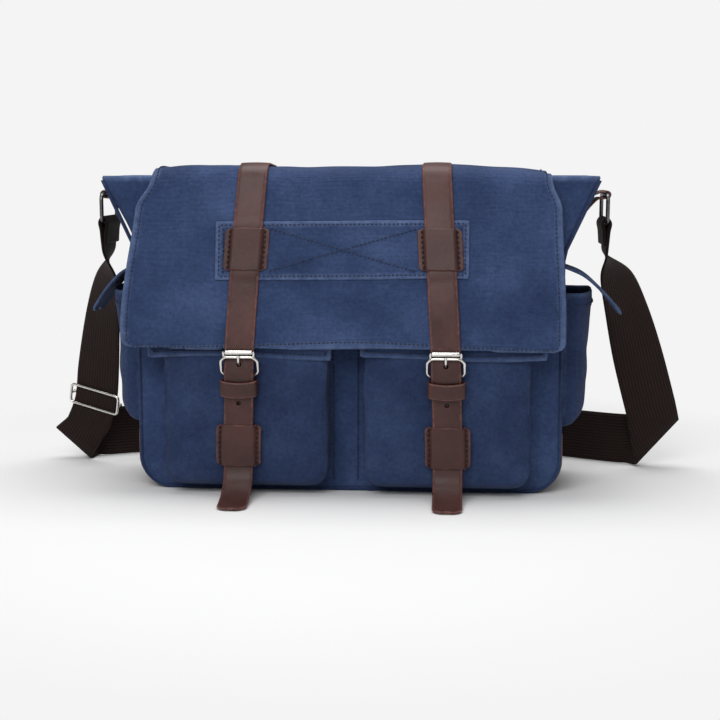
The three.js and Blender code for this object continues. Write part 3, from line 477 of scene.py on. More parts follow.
# %% [markdown]
# Bars, rings and piping are round sections carried along a path. A curve with a bevel would
# do it, but a written grid keeps the section square to the path at every corner.

# %% Round bars along a path
def smooth_path(points, steps=6, closed=False):
    """A Catmull-Rom line through the points."""
    points = [np.array(p, float) for p in points]
    count = len(points)
    path = []
    for n in range(count if closed else count - 1):
        pick = lambda k: points[k % count] if closed else points[min(max(k, 0), count - 1)]
        a, b, c, d = pick(n - 1), pick(n), pick(n + 1), pick(n + 2)
        for t in np.linspace(0, 1, steps, endpoint=False):
            path.append(0.5 * (2 * b + (c - a) * t + (2 * a - 5 * b + 4 * c - d) * t ** 2
                               + (3 * b - a - 3 * c + d) * t ** 3))
    if not closed:
        path.append(points[-1])
    return np.array(path)


def rounded_corners(points, radius, steps=5, closed=True):
    """A polyline whose corners are turned into short arcs."""
    points = [np.array(p, float) for p in points]
    count = len(points)
    path = []
    for n, here in enumerate(points):
        if not closed and n in (0, count - 1):
            path.append(here)
            continue
        before, after = points[n - 1], points[(n + 1) % count]
        cut = min(radius, 0.48 * np.linalg.norm(before - here),
                  0.48 * np.linalg.norm(after - here))
        a = here + (before - here) / np.linalg.norm(before - here) * cut
        b = here + (after - here) / np.linalg.norm(after - here) * cut
        for t in np.linspace(0, 1, steps):
            path.append((1 - t) ** 2 * a + 2 * t * (1 - t) * here + t ** 2 * b)
    return np.array(path)


def bar_piece(name, path, radius, material, sides=12, closed=False, flat=1.0):
    """A closed round bar; flat squeezes its section along the frame's second direction."""
    path = np.asarray(path, float)
    if closed:
        along = np.roll(path, -1, 0) - np.roll(path, 1, 0)
    else:
        along = np.gradient(path, axis=0)
    along /= np.linalg.norm(along, axis=1, keepdims=True)
    mean = np.mean([np.cross(a, b) for a, b in zip(along, np.roll(along, 1, 0))], axis=0)
    side = mean if np.linalg.norm(mean) > 1e-6 else np.array([1.0, 0.0, 0.0])
    radii = np.broadcast_to(radius, len(path))
    verts = []
    for point, direction, r in zip(path, along, radii):
        first = side - direction * np.dot(side, direction)
        if np.linalg.norm(first) < 1e-6:
            first = np.cross(direction, (0.0, 1.0, 0.31))
        first /= np.linalg.norm(first)
        side = first
        second = np.cross(direction, first)
        for k in range(sides):
            turn = 2 * math.pi * k / sides
            verts.append(point + r * (math.cos(turn) * first + flat * math.sin(turn) * second))
    faces = []
    rings = len(path)
    for n in range(rings if closed else rings - 1):
        m = (n + 1) % rings
        for k in range(sides):
            k2 = (k + 1) % sides
            faces.append((n * sides + k, n * sides + k2, m * sides + k2, m * sides + k))
    if not closed:
        faces.append(tuple(range(sides - 1, -1, -1)))
        faces.append(tuple((rings - 1) * sides + k for k in range(sides)))
    return new_piece(name, verts, faces, material)


# %% [markdown]
# The bag's body is one sewn shell. Five flat plates would look like a crate, so level
# sections are stacked instead: narrow at the rounded bottom corners, straight up the sides,
# and pushed outwards at the rim where the gussets are propped open. Noise that grows with
# height gives the loose upper cloth its dents.

# %% Body shell
front_low, front_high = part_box("front_panel")
back_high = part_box("back_panel")[1]
rim_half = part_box("gusset_right")[1][0]
BODY_HALF = front_high[0]
RIM = front_high[2]
FRONT, BACK = front_low[1], back_high[1]
CORNER = 30 * MM
FLARE_START = 0.76


def half_width(z):
    corner = np.maximum(CORNER - z, 0)
    bottom = CORNER - np.sqrt(np.maximum(CORNER ** 2 - corner ** 2, 0))
    flare = np.maximum(z / RIM - FLARE_START, 0) / (1 - FLARE_START)
    return BODY_HALF - bottom + (rim_half - BODY_HALF) * flare


def level_section(half_x, front, back, radius, long=60, short=22, turn=6):
    arc = np.linspace(0, math.pi / 2, turn, endpoint=False)
    wide = np.linspace(-half_x + radius, half_x - radius, long, endpoint=False)
    deep = np.linspace(front + radius, back - radius, short, endpoint=False)
    x = np.concatenate([
        wide, half_x - radius + radius * np.sin(arc), np.full(short, half_x),
        half_x - radius + radius * np.cos(arc), -wide, -half_x + radius - radius * np.sin(arc),
        np.full(short, -half_x), -half_x + radius - radius * np.cos(arc)])
    y = np.concatenate([
        np.full(long, front), front + radius - radius * np.cos(arc), deep,
        back - radius + radius * np.sin(arc), np.full(long, back),
        back - radius + radius * np.cos(arc), front + back - deep,
        front + radius - radius * np.sin(arc)])
    return np.stack([x, y], -1)


def body_grid(inset, bottom, top, close_to, rows=64):
    """Level sections from a small hole in the bottom, out and up to the rim."""
    grid = []
    for share in np.linspace(close_to, 0.96, 7):
        plan = level_section(half_width(0.004) * share, (FRONT + inset) * share,
                             (BACK - inset) * share, 6 * MM)
        grid.append(np.c_[plan, np.full(len(plan), bottom)])
    for z in np.linspace(0, 1, rows):
        height = bottom + 0.6 * MM + (top - bottom) * z ** 1.15
        plan = level_section(half_width(height) - inset, FRONT + inset, BACK - inset, 4 * MM)
        grid.append(np.c_[plan, np.full(len(plan), height)])
    grid = np.array(grid).transpose(1, 0, 2)
    x, y, z = grid[..., 0].copy(), grid[..., 1].copy(), grid[..., 2].copy()
    slack = ease((z - 0.03) / 0.2)
    on_side = ease((np.abs(x) - half_width(z) + 0.02) / 0.012)
    dent = 2.2 * MM * crease(x + y, z, 0.055, 3.1) + 1.0 * MM * crease(x + y, z, 0.021, 8.4)
    grid[..., 1] += np.where(y < 0, 1, -1) * (1 - on_side) * slack * (1.2 * MM - dent * 0.5)
    fold = 5 * MM * ease((z - 0.2) / 0.09) * (1 - (2 * y / (BACK - FRONT)) ** 2)
    grid[..., 0] -= np.sign(x) * on_side * (slack * (dent + 1 * MM) + fold)
    return grid


body = sheet_piece("canvas_body", body_grid(1.4 * MM, 3.4 * MM, RIM - 1 * MM, 0.7),
                   2.6 * MM, CANVAS, closed=True, hem=0.5 * MM, hem_width=14 * MM)
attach(body, "bag")
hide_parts("front_panel", "back_panel", "gusset_left", "gusset_right")
print("body", len(body.data.polygons), "faces")

# %% [markdown]
# A dark lining follows the body a few millimetres inside, and a padded divider stands near
# the back for a laptop.

# %% Lining and divider
lining = sheet_piece("bag_lining", body_grid(4.6 * MM, 7.4 * MM, RIM - 2.5 * MM, 0.05, 40),
                     1.0 * MM, LINING, closed=True)
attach(lining, "bag")
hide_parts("lining")

low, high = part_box("laptop_divider")
wide, tall = np.meshgrid(np.linspace(low[0] + 4 * MM, high[0] - 4 * MM, 70),
                         np.linspace(low[2] + 2 * MM, high[2] - 1 * MM, 50), indexing="ij")
middle_y = (low[1] + high[1]) / 2 + 1.2 * MM * crease(wide, tall, 0.09, 5.0)
divider = sheet_piece("padded_divider", np.stack([wide, middle_y, tall], -1), 5 * MM, LINING,
                      hem=-1.2 * MM, hem_width=10 * MM)
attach(divider, "bag")
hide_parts("laptop_divider")
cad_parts["base_board"].data.materials.clear()
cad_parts["base_board"].data.materials.append(BOARD)

# %% [markdown]
# The base is a trough of leather between the front and back panels. It turns up the sides
# and carries the bag, so it is a strip that follows the rounded outline.

# %% Leather base
low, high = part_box("leather_base")
outline = [(-BODY_HALF - 0.6 * MM, high[2])]
outline += [(-half_width(z) - 0.6 * MM, z) for z in np.linspace(0.045, CORNER, 5)]
turn = np.linspace(0, math.pi / 2, 14)[1:]
outline += [(-BODY_HALF + CORNER - (CORNER + 0.6 * MM) * math.cos(a),
             CORNER - (CORNER - 1 * MM) * math.sin(a)) for a in turn]
half_line = np.array(outline)
flat_x = np.linspace(-BODY_HALF + CORNER, BODY_HALF - CORNER, 50)[1:-1]
line = np.concatenate([half_line, np.c_[flat_x, np.full(len(flat_x), 1 * MM)],
                       half_line[::-1] * (-1, 1)])
rows = np.linspace(low[1] + 0.5 * MM, high[1] - 0.5 * MM, 26)
base_grid = np.array([[(x, y, z) for x, z in line] for y in rows])
base = sheet_piece("leather_base", base_grid, 1.9 * MM, BASE_LEATHER, worn=0.0025)
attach(base, "bag")
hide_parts("leather_base")

# %% [markdown]
# Piping covers the seams between the panels and the gussets: a thin cord of canvas that
# follows the same outline at the front and at the back.

# %% Piping
for label, y in (("front", FRONT + 1.1 * MM), ("back", BACK - 1.1 * MM)):
    rise = [(half_width(z) - 1.3 * MM, y, z) for z in np.linspace(RIM - 3 * MM, CORNER, 26)]
    arc = [(BODY_HALF - CORNER + (CORNER - 1.3 * MM) * math.cos(a), y, CORNER - (CORNER - 1.9 * MM)
            * math.sin(a)) for a in np.linspace(0, math.pi / 2, 12)[1:]]
    half = rise + arc
    welt = [tuple(p) for p in half] + [(-p[0], p[1], p[2]) for p in reversed(half)]
    cord = bar_piece("piping_" + label, welt, 1.8 * MM, SHADED_CANVAS, sides=8)
    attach(cord, "bag")

# %% [markdown]
# The flap, its band, the closure straps and the keeper patches lie on each other in layers
# and bend round the same two folds. One function gives a place on that stack: how far across,
# how far along from the flap's bottom edge, and how high above the flap's inner side. Every
# layer is a grid of such places, so they drape together.

# %% Places on the flap
flap_low, flap_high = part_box("flap_front")
FLAP_BOTTOM = flap_low[2]
FLAP_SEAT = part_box("flap_top")[0][2]
fold_points = [(flap_low[1] + 4 * MM, FLAP_BOTTOM), (flap_low[1] + 5.6 * MM, 0.172),
               (FRONT - 0.3 * MM, FLAP_SEAT), (BACK + 0.3 * MM, FLAP_SEAT),
               (BACK + 0.3 * MM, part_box("flap_back_strip")[0][2])]


def fold_line():
    path = [np.array(fold_points[0])]
    for n, radius in ((1, 0.03), (2, 0.011), (3, 0.009)):
        here = np.array(fold_points[n])
        before, after = np.array(fold_points[n - 1]), np.array(fold_points[n + 1])
        a = here + (before - here) / np.linalg.norm(before - here) * radius
        b = here + (after - here) / np.linalg.norm(after - here) * radius
        path += [(1 - t) ** 2 * a + 2 * t * (1 - t) * here + t ** 2 * b
                 for t in np.linspace(0, 1, 12)]
    path.append(np.array(fold_points[4]))
    path = np.array(path)
    run = np.r_[0, np.cumsum(np.linalg.norm(np.diff(path, axis=0), axis=1))]
    even = np.linspace(0, run[-1], 600)
    line = np.stack([np.interp(even, run, path[:, 0]), np.interp(even, run, path[:, 1])], -1)
    slope = np.gradient(line, axis=0)
    slope /= np.linalg.norm(slope, axis=1, keepdims=True)
    out = np.stack([-slope[:, 1], slope[:, 0]], -1)
    for _ in range(10):
        out[1:-1] = (out[:-2] + out[1:-1] + out[2:]) / 3
    return even, line, out


run_length, fold_path, fold_out = fold_line()
FLAP_LENGTH = run_length[-1]
FOLD_AT = float(run_length[np.argmin(np.linalg.norm(
    fold_path - np.array(fold_points[2]), axis=1))])
BACK_FOLD_AT = float(run_length[np.argmin(np.linalg.norm(
    fold_path - np.array(fold_points[3]), axis=1))])


def at_run(s, values):
    return np.interp(s, run_length, values)


def on_stack(x, s, lift):
    """Places on the layers over the flap: x across, s along, lift above its inner side."""
    y, z = at_run(s, fold_path[:, 0]), at_run(s, fold_path[:, 1])
    out_y, out_z = at_run(s, fold_out[:, 0]), at_run(s, fold_out[:, 1])
    loose = ease(s / 0.03) * 0.6 + 0.4
    swell = 2.0 * MM * crease(x, s, 0.085, 1.7) + 0.9 * MM * crease(x, s, 0.033, 6.2)
    swell = swell * loose + 1.0 * MM
    end = ease((np.abs(x + 4 * MM) - 0.145) / 0.055)
    droop = 6.0 * MM * end * ease((s - FOLD_AT + 0.03) / 0.03)
    droop *= ease((BACK_FOLD_AT + 0.03 - s) / 0.03)
    raised = lift + swell * np.where(s > BACK_FOLD_AT, 0.3, 1.0)
    return np.stack([np.broadcast_to(x, y.shape), y + out_y * raised,
                     z + out_z * raised - droop], -1)


def run_at_height(z):
    """How far along the front of the stack a height is."""
    front = run_length < FOLD_AT
    return float(np.interp(z, fold_path[front, 1], run_length[front]))


print("flap cut", round(FLAP_LENGTH, 3), "m long, front fold at", round(FOLD_AT, 3))

# %% [markdown]
# The main flap is one cut of canvas with a hem all round. It is a little narrower at the
# top, where the cloth is drawn over the rim, and its bottom corners are rounded. It crosses
# the front fold and is shaped bent round it.

# %% Main flap
TOP_SEAM = float(run_length[np.argmin(np.abs(fold_path[:, 0] - 0.042)
                                      + np.where(fold_path[:, 1] > 0.29, 0, 1))])


def flap_sides(s):
    rise = ease((s - 0.01) / (FOLD_AT - 0.02))
    nip = ease((s - FOLD_AT + 0.035) / 0.035) * ease((BACK_FOLD_AT + 0.03 - s) / 0.05)
    corner = 9 * MM - np.sqrt(np.maximum((9 * MM) ** 2 - np.maximum(9 * MM - s, 0) ** 2, 0))
    left = flap_low[0] + 12 * MM * rise + 13 * MM * nip + corner
    right = flap_high[0] - 4 * MM * rise - 8 * MM * nip - corner
    return left, right


def flap_grid(first, last, columns, rows, lift):
    s = np.concatenate([first + (last - first) * np.linspace(0, 1, rows)])
    s = np.sort(np.r_[s, first + np.array([1, 2.2, 3.6, 5.2, 7.0]) * MM])
    left, right = flap_sides(s)
    share = np.linspace(0, 1, columns)
    share = 0.5 - 0.5 * np.cos(math.pi * share) * 0.12 - 0.5 * (1 - 2 * share) * 0.88
    x = left[None, :] + (right - left)[None, :] * share[:, None]
    run = np.broadcast_to(s, x.shape)
    wave = 1.5 * MM * np.sin(x * 21 + 1.0) * (1 - ease(run / 0.05))
    return on_stack(x, run + wave * (run < 0.06), lift(run))


main_grid = flap_grid(0.0, TOP_SEAM, 120, 104,
                      lambda s: 2.0 * MM + 1.5 * MM * ease((s - TOP_SEAM + 12 * MM) / 0.006))
flap = sheet_piece("main_flap", main_grid, 2.8 * MM, CANVAS, hem=0.7 * MM,
                   hem_width=8 * MM, seam=4.5 * MM)
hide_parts("flap_front", "flap_top")
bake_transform(flap)

back_grid = flap_grid(TOP_SEAM - 9 * MM, FLAP_LENGTH, 110, 34, lambda s: 1.0 * MM + 0 * s)
yoke = sheet_piece("flap_back", back_grid, 1.7 * MM, CANVAS, hem=0.5 * MM, hem_width=8 * MM)
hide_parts("flap_back_strip")
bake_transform(yoke)


def grid_area(grid):
    du, dv = np.diff(grid, axis=0)[:, :-1], np.diff(grid, axis=1)[:-1]
    return float(np.linalg.norm(np.cross(du, dv), axis=-1).sum())


print("main flap area", round(grid_area(main_grid), 4), "m2")

# %% [markdown]
# A strip of the same canvas reinforces the flap where the straps are held. It is sewn on
# flat, so it only needs its own raised edge and the same drape.

# %% Reinforcement band
band_low, band_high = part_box("reinforcement_band")
BAND_RUNS = (run_at_height(band_low[2]), run_at_height(band_high[2]))
x, s = np.meshgrid(np.linspace(band_low[0], band_high[0], 90),
                   np.linspace(*BAND_RUNS, 24), indexing="ij")
skew = 2.5 * MM * np.sin((x + 0.01) * 14)
band_grid = on_stack(x, s + skew * 0.4, 4.3 * MM + 0 * s)
band = sheet_piece("reinforcement_band", band_grid, 1.3 * MM, CANVAS, worn=0.0055,
                   hem=0.35 * MM, hem_width=5 * MM, seam=2.6 * MM)
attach(band, "flap_front")
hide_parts("reinforcement_band")

# %% [markdown]
# Each closure strap runs from the back seam, over both folds and down to its buckle, with a
# slight outward slant. It crosses two hinges, and a piece may bend across only one, so it is
# pieced at the middle of the top, where a real strap of this length is often pieced too.

# %% Closure straps on the flap
STRAP_WIDE = 25 * MM
SIDES = {"left": -1, "right": 1}


def strap_x(side, z):
    above = np.minimum(np.maximum(FLAP_SEAT - z, 0), 0.156)
    below = np.minimum(np.maximum(FLAP_BOTTOM - z, 0), 0.089)
    return -2.5 * MM + side * (82.5 * MM + 0.062 * above + 0.03 * below)


def strap_lift(s):
    on_band = ease((s - BAND_RUNS[0] + 4 * MM) / 0.008)
    on_band *= ease((BAND_RUNS[1] + 4 * MM - s) / 0.008)
    return 5.3 * MM + 1.0 * MM * on_band


def strap_grid(side, first, last, rows, extra=0.0, columns=9):
    """A strap's middle surface, with a faint crown across it."""
    s = np.linspace(first, last, rows)
    height = at_run(s, fold_path[:, 1])
    across = np.linspace(-STRAP_WIDE / 2, STRAP_WIDE / 2, columns)
    x = strap_x(side, height)[None, :] + across[:, None]
    run = np.broadcast_to(s, x.shape)
    crown = 0.45 * MM * (1 - (2 * across / STRAP_WIDE) ** 2)
    centre = np.broadcast_to(strap_x(side, height)[None, :], x.shape)
    middle = on_stack(centre, run, strap_lift(run) + extra)
    middle[..., 0] = x
    step = on_stack(centre, run, strap_lift(run) + extra + 1 * MM) - on_stack(
        centre, run, strap_lift(run) + extra)
    step[..., 0] = 0
    return middle + step * (crown[:, None, None] / MM)


TOP_MIDDLE = float(run_length[np.argmin(np.abs(fold_path[:, 0])
                                        + np.where(fold_path[:, 1] > 0.29, 0, 1))])
BUCKLE_RUN = run_at_height(FLAP_BOTTOM + 0.6 * MM)
for hand, side in SIDES.items():
    grid = strap_grid(side, BUCKLE_RUN, TOP_MIDDLE + 4 * MM, 96)
    strap = sheet_piece(f"flap_strap_{hand}", grid, 2.3 * MM, STRAP_LEATHER, worn=0.0011)
    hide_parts(f"strap_front_{hand}", f"strap_top_{hand}")
    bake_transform(strap)
    grid = strap_grid(side, TOP_MIDDLE - 4 * MM, FLAP_LENGTH + 0 * MM, 56, -0.9 * MM)
    strap = sheet_piece(f"back_strap_{hand}", grid, 1.5 * MM, STRAP_LEATHER, worn=0.0011)
    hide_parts(f"strap_back_{hand}")
    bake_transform(strap)

# %% [markdown]
# A square leather patch is sewn over each strap on its two side edges, so that the strap
# can slide under it. It therefore lies low at its edges and steps up over the strap.

# %% Keeper patches
def rounded_square(wide, tall, radius, columns, rows):
    """Across and up coordinates of a grid whose corners are rounded."""
    up = np.linspace(-tall / 2, tall / 2, rows)
    up = np.sign(up) * tall / 2 * (1 - (1 - np.abs(2 * up / tall)) ** 1.25)
    near = np.maximum(np.abs(up) - tall / 2 + radius, 0)
    half = wide / 2 - radius + np.sqrt(np.maximum(radius ** 2 - near ** 2, 0))
    share = np.linspace(-1, 1, columns)
    return share[:, None] * half[None, :], np.broadcast_to(up, (columns, rows))


for hand, side in SIDES.items():
    low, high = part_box(f"keeper_patch_{hand}")
    middle_z = (low[2] + high[2]) / 2
    across, up = rounded_square(38.5 * MM, 37 * MM, 3.5 * MM, 45, 40)
    step = 1 - ease((np.abs(across) - 12.2 * MM) / (3.2 * MM))
    lift = 5.9 * MM + 3.1 * MM * step + 0.3 * MM * (1 - (up / (18.5 * MM)) ** 2)
    run = run_at_height(middle_z) + up
    height = at_run(run, fold_path[:, 1])
    x = strap_x(side, height) + across
    centre = on_stack(strap_x(side, height) + 0 * across, run, lift)
    centre[..., 0] = x
    patch = sheet_piece(f"keeper_patch_{hand}", centre, 1.7 * MM, DARK_LEATHER, worn=0.0009)
    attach(patch, "flap_front")
    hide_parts(f"keeper_patch_{hand}")

# %% [markdown]
# The two front pockets are pouches with a depth of their own: side walls, a face and a
# rounded bottom. One sheet wraps round three sides, from the body out across the face and
# back, and its lowest rows curve in to the body. The face is crowned because the cloth is
# cut a little larger than it needs to be.

# %% Front pockets
def pouch_grid(x0, x1, root, face, bottom, top, corner, plump, seed, columns=(12, 58, 12)):
    """A pouch open at the top: walls from y = root to y = face, closed below."""
    deep, wide, _ = columns
    wall = np.linspace(0, 1, deep, endpoint=False)
    cross = np.linspace(-1, 1, wide)
    side_share = np.concatenate([np.full(deep, -1.0), cross, np.full(deep, 1.0)])
    depth_share = np.concatenate([wall, np.ones(wide), 1 - np.linspace(0, 1, deep + 1)[1:]])
    round_edge = ease((np.abs(side_share) - 0.93) / 0.07) * (depth_share > 0.999)
    rows_turn = np.linspace(0, math.pi / 2, 9, endpoint=False)
    under = 9 * MM
    depths = np.r_[np.sin(rows_turn), np.ones(46)]
    heights = np.r_[bottom + under * (1 - np.cos(rows_turn)),
                    np.linspace(bottom + under, top, 46)]
    short = np.maximum(corner - (heights - bottom), 0)
    half = (x1 - x0) / 2 - corner + np.sqrt(np.maximum(corner ** 2 - short ** 2, 0))
    x = (x0 + x1) / 2 + side_share[:, None] * half[None, :]
    full = depth_share[:, None] * depths[None, :]
    y = root + (face - root) * full + 2.6 * MM * round_edge[:, None]
    z = np.broadcast_to(heights, x.shape).copy()
    up = ease((z - bottom) / 0.03) * (1 - 0.5 * ease((z - top + 0.03) / 0.03))
    belly = plump * (1 - np.abs(side_share[:, None]) ** 2.4) * up * (depth_share[:, None] > 0.99)
    dent = 1.5 * MM * crease(x, z, 0.045, seed) + 0.7 * MM * crease(x, z, 0.02, seed + 3)
    y -= belly + dent * up * (depth_share[:, None] > 0.99)
    lean = 1.6 * MM * crease(y, z, 0.04, seed + 7) * up
    x += lean * (depth_share[:, None] < 0.99)
    return np.stack([x, y, z], -1)


for hand, side in SIDES.items():
    low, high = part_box(f"pocket_face_{hand}")
    grid = pouch_grid(low[0] + 1 * MM, high[0] - 1 * MM, FRONT - 0.4 * MM, low[1] + 1.2 * MM,
                      low[2] + 0.4 * MM, high[2], 20 * MM, 1.6 * MM, 2.0 + side)
    pocket = sheet_piece(f"front_pocket_{hand}", grid, 2.0 * MM, SHADED_CANVAS, worn=0.003,
                         hem=0.5 * MM, hem_width=10 * MM)
    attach(pocket, "bag")
    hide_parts(f"pocket_face_{hand}", f"pocket_gusset_{hand}")

# %% [markdown]
# Each pocket has its own flap, sewn to the body above it. It leaves the body, passes over
# the pocket's top edge and hangs; all but its hem is hidden by the main flap.

# %% Front pocket flaps
for hand, side in SIDES.items():
    low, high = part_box(f"front_pocket_flap_{hand}")
    profile = rounded_corners([(high[1] - 1.1 * MM, high[2] - 2.5 * MM),
                               (low[1] + 1.1 * MM, 0.1635), (low[1] + 1.1 * MM, low[2])],
                              10 * MM, 8, closed=False)
    run = np.r_[0, np.cumsum(np.linalg.norm(np.diff(profile, axis=0), axis=1))]
    even = np.sort(np.r_[np.linspace(0, run[-1], 34), run[-1] - np.array([6, 8, 9.5]) * MM])
    y = np.interp(even, run, profile[:, 0])
    z = np.interp(even, run, profile[:, 1])
    x = np.linspace(low[0] + 0.5 * MM, high[0] - 0.5 * MM, 64)
    hang = ease((even - 0.02) / 0.03)
    grid = np.stack(np.broadcast_arrays(x[:, None], y[None, :], z[None, :]), -1).copy()
    flutter = crease(grid[..., 0], grid[..., 2], 0.05, 11.0 + side)
    grid[..., 1] -= (0.9 * MM * flutter + 0.3 * MM) * hang
    grid[..., 2] += (1.6 * MM * np.sin(grid[..., 0] * 31 + side)) * hang ** 2
    grid = grid[::-1]
    cover = sheet_piece(f"pocket_flap_{hand}", grid, 1.9 * MM, SHADED_CANVAS, worn=0.0045,
                        hem=0.45 * MM, hem_width=8 * MM)
    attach(cover, f"pocket_flap_{hand}")
    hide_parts(f"front_pocket_flap_{hand}")

# %% [markdown]
# The side pockets are deep gathered pouches on the gussets. Their plan is a soft D that is
# full at the top and drawn in at the bottom, with a hemmed mouth that gapes a little.

# %% Side pockets
for hand, side in SIDES.items():
    low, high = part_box(f"side_pocket_{hand}")
    turn = np.linspace(0, math.pi, 72)
    if side < 0:
        turn = turn[::-1]
    bulge, depth = 25.0 * MM, 43 * MM
    out_share = np.abs(np.sin(turn)) ** 0.42
    depth_share = -np.sign(np.cos(turn)) * np.abs(np.cos(turn)) ** 0.72
    curve = np.linspace(0, math.pi / 2, 12, endpoint=False)
    heights = np.r_[low[2] + 22 * MM * (1 - np.cos(curve)),
                    np.linspace(low[2] + 22 * MM, high[2], 46)]
    swell = np.r_[np.sin(curve) ** 0.8, np.ones(46)]
    z = np.broadcast_to(heights, (72, len(heights))).copy()
    taper = 0.9 + 0.1 * ease((z - low[2]) / 0.1)
    gape = 1 * MM * ease((z - high[2] + 0.03) / 0.03)
    x = BODY_HALF + 0.2 * MM + (bulge * taper + gape) * out_share[:, None] * swell[None, :]
    y = depth * depth_share[:, None] * (0.82 + 0.18 * swell[None, :] * np.ones_like(z))
    dent = 1.9 * MM * crease(y, z, 0.05, 21.0 + side) + 0.9 * MM * crease(y, z, 0.02, 4.0)
    x -= dent * out_share[:, None] * ease((z - low[2]) / 0.04)
    z += 2.5 * MM * out_share[:, None] * ease((z - 0.1) / 0.08) * np.cos(y * 40)
    grid = np.stack([side * x, y, z], -1)
    pocket = sheet_piece(f"side_pocket_{hand}", grid, 2.0 * MM, SHADED_CANVAS, worn=0.0035,
                         hem=0.7 * MM, hem_width=13 * MM)
    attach(pocket, "bag")
    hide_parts(f"side_pocket_{hand}")

# %% [markdown]
# A short rounded flap hangs over the mouth of each side pocket, propped outwards by its own
# stiffness. It is a tongue of canvas with a curved end.

# %% Side pocket flaps
for hand, side in SIDES.items():
    low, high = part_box(f"side_pocket_flap_{hand}")
    root, tip = (low[0], high[0]) if side > 0 else (high[0], low[0])
    reach = abs(tip - root)
    line = smooth_path([(0, high[2] - 1.2 * MM), (reach * 0.34, high[2] - 8 * MM),
                        (reach * 0.66, high[2] - 22 * MM), (reach * 0.88, high[2] - 35 * MM),
                        (reach, low[2] + 1.5 * MM)], 8)
    share = np.linspace(0, 1, len(line))
    round_tip = 17 * MM
    left = np.maximum(round_tip - (1 - share) * 0.066, 0)
    half = (high[1] - low[1]) / 2 - round_tip + np.sqrt(np.maximum(round_tip ** 2 - left ** 2,
                                                                   1e-7))
    across = np.linspace(1, -1, 26)
    x = root + side * line[:, 0][None, :] + 0 * across[:, None]
    y = (low[1] + high[1]) / 2 + across[:, None] * half[None, :]
    cup = 3.0 * MM * (across[:, None] ** 2) * share[None, :] ** 1.2
    z = line[:, 1][None, :] - cup + 0.8 * MM * crease(x, y, 0.03, 9.0)
    grid = np.stack([x, y, z], -1)
    if side < 0:
        grid = grid[::-1]
    tongue = sheet_piece(f"side_flap_{hand}", grid, 2.0 * MM, SHADED_CANVAS, worn=0.004,
                         hem=0.4 * MM, hem_width=7 * MM)
    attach(tongue, f"side_flap_{hand}")
    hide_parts(f"side_pocket_flap_{hand}")
print("pockets done")

# %% [markdown]
# Below the roller the same strap is the tongue of the closure. It passes behind the roller
# and the frame's front bar, over the heel bar, through the keeper loop and the lower patch,
# and its tail bends forward to the floor. It swings with the closure, so it is its own piece.

# %% Strap tongues
def drilled(piece, holes):
    """Cuts round holes, given as (centre, radius), from front to back."""
    punch_reach = 8 * MM
    for centre, radius in holes:
        path = [(centre[0], centre[1] - punch_reach, centre[2]),
                (centre[0], centre[1] + punch_reach, centre[2])]
        punch = bar_piece(f"{piece.name}_punch", path, radius, STRAP_LEATHER, sides=20)
        cut = piece.modifiers.new("hole", "BOOLEAN")
        cut.operation, cut.solver, cut.object = "DIFFERENCE", "EXACT", punch
        bpy.context.view_layer.update()
        graph = bpy.context.evaluated_depsgraph_get()
        mesh = bpy.data.meshes.new_from_object(piece.evaluated_get(graph))
        piece.modifiers.clear()
        piece.data = mesh
        mesh.name = piece.name
        bpy.data.objects.remove(punch)
    return piece


def strip_along(path_yz, side, wide, rows, columns=11, tip=0.0, crown=0.4 * MM):
    """A strap's middle surface along a path in y and z, following the closure's slant."""
    path = smooth_path(path_yz, 10)
    run = np.r_[0, np.cumsum(np.linalg.norm(np.diff(path, axis=0), axis=1))]
    even = np.linspace(0, run[-1], rows)
    if tip:
        even = np.sort(np.r_[even, run[-1] - tip * np.array([0.01, 0.04, 0.1, 0.2, 0.35])])
    y, z = np.interp(even, run, path[:, 0]), np.interp(even, run, path[:, 1])
    slope = np.gradient(np.stack([y, z], -1), axis=0)
    slope /= np.linalg.norm(slope, axis=1, keepdims=True)
    out = np.stack([slope[:, 1], -slope[:, 0]], -1)
    share = np.linspace(-1, 1, columns)
    near = np.maximum(tip - (run[-1] - even), 0)
    half = np.full(len(even), wide / 2)
    if tip:
        half = half - tip + np.sqrt(np.maximum(tip ** 2 - near ** 2, (0.04 * tip) ** 2))
    x = strap_x(side, z)[None, :] + share[:, None] * half[None, :]
    lift = crown * (1 - share[:, None] ** 2)
    return np.stack([x, y[None, :] + out[None, :, 0] * lift, z[None, :] + out[None, :, 1] * lift],
                    -1)


HEEL = (-0.08606, 0.11275)
FRONT_BAR = (-0.09333, 0.13073)
ROLLER_AXIS = (-0.09505, 0.135)
tongue_line = [(-0.0905, 0.1405), (-0.0911, 0.1365), (-0.0899, 0.1300), (-0.0912, 0.1200),
               (-0.0916, 0.1125), (-0.0894, 0.1030), (-0.0878, 0.0940), (-0.0880, 0.0780),
               (-0.0876, 0.0600), (-0.0877, 0.0400), (-0.0882, 0.0280), (-0.0930, 0.0165),
               (-0.1040, 0.0082), (-0.1190, 0.0035), (-0.1355, 0.0018)]
for hand, side in SIDES.items():
    sway = [(y + 0.0006 * math.sin(70 * z + side), z) for y, z in tongue_line]
    grid = strip_along(sway, side, STRAP_WIDE, 96, tip=9 * MM)[::-1]
    tongue = sheet_piece(f"strap_tongue_{hand}", grid, 2.3 * MM, DARK_LEATHER, worn=0.0011)
    holes = [((strap_x(side, z), y, z), 2.1 * MM) for y, z in
             ((-0.0906, FRONT_BAR[1] - 7.2 * MM), (-0.088, 0.088))]
    drilled(tongue, holes)
    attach(tongue, f"closure_{hand}")
    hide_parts(f"strap_tongue_{hand}")

# %% [markdown]
# The chape is the short strap that holds the buckle: it folds over the heel bar and runs
# down to the lower patch. The keeper loop goes round both, and the lower patch is sewn over
# the tongue on its two side edges, as the upper one is.

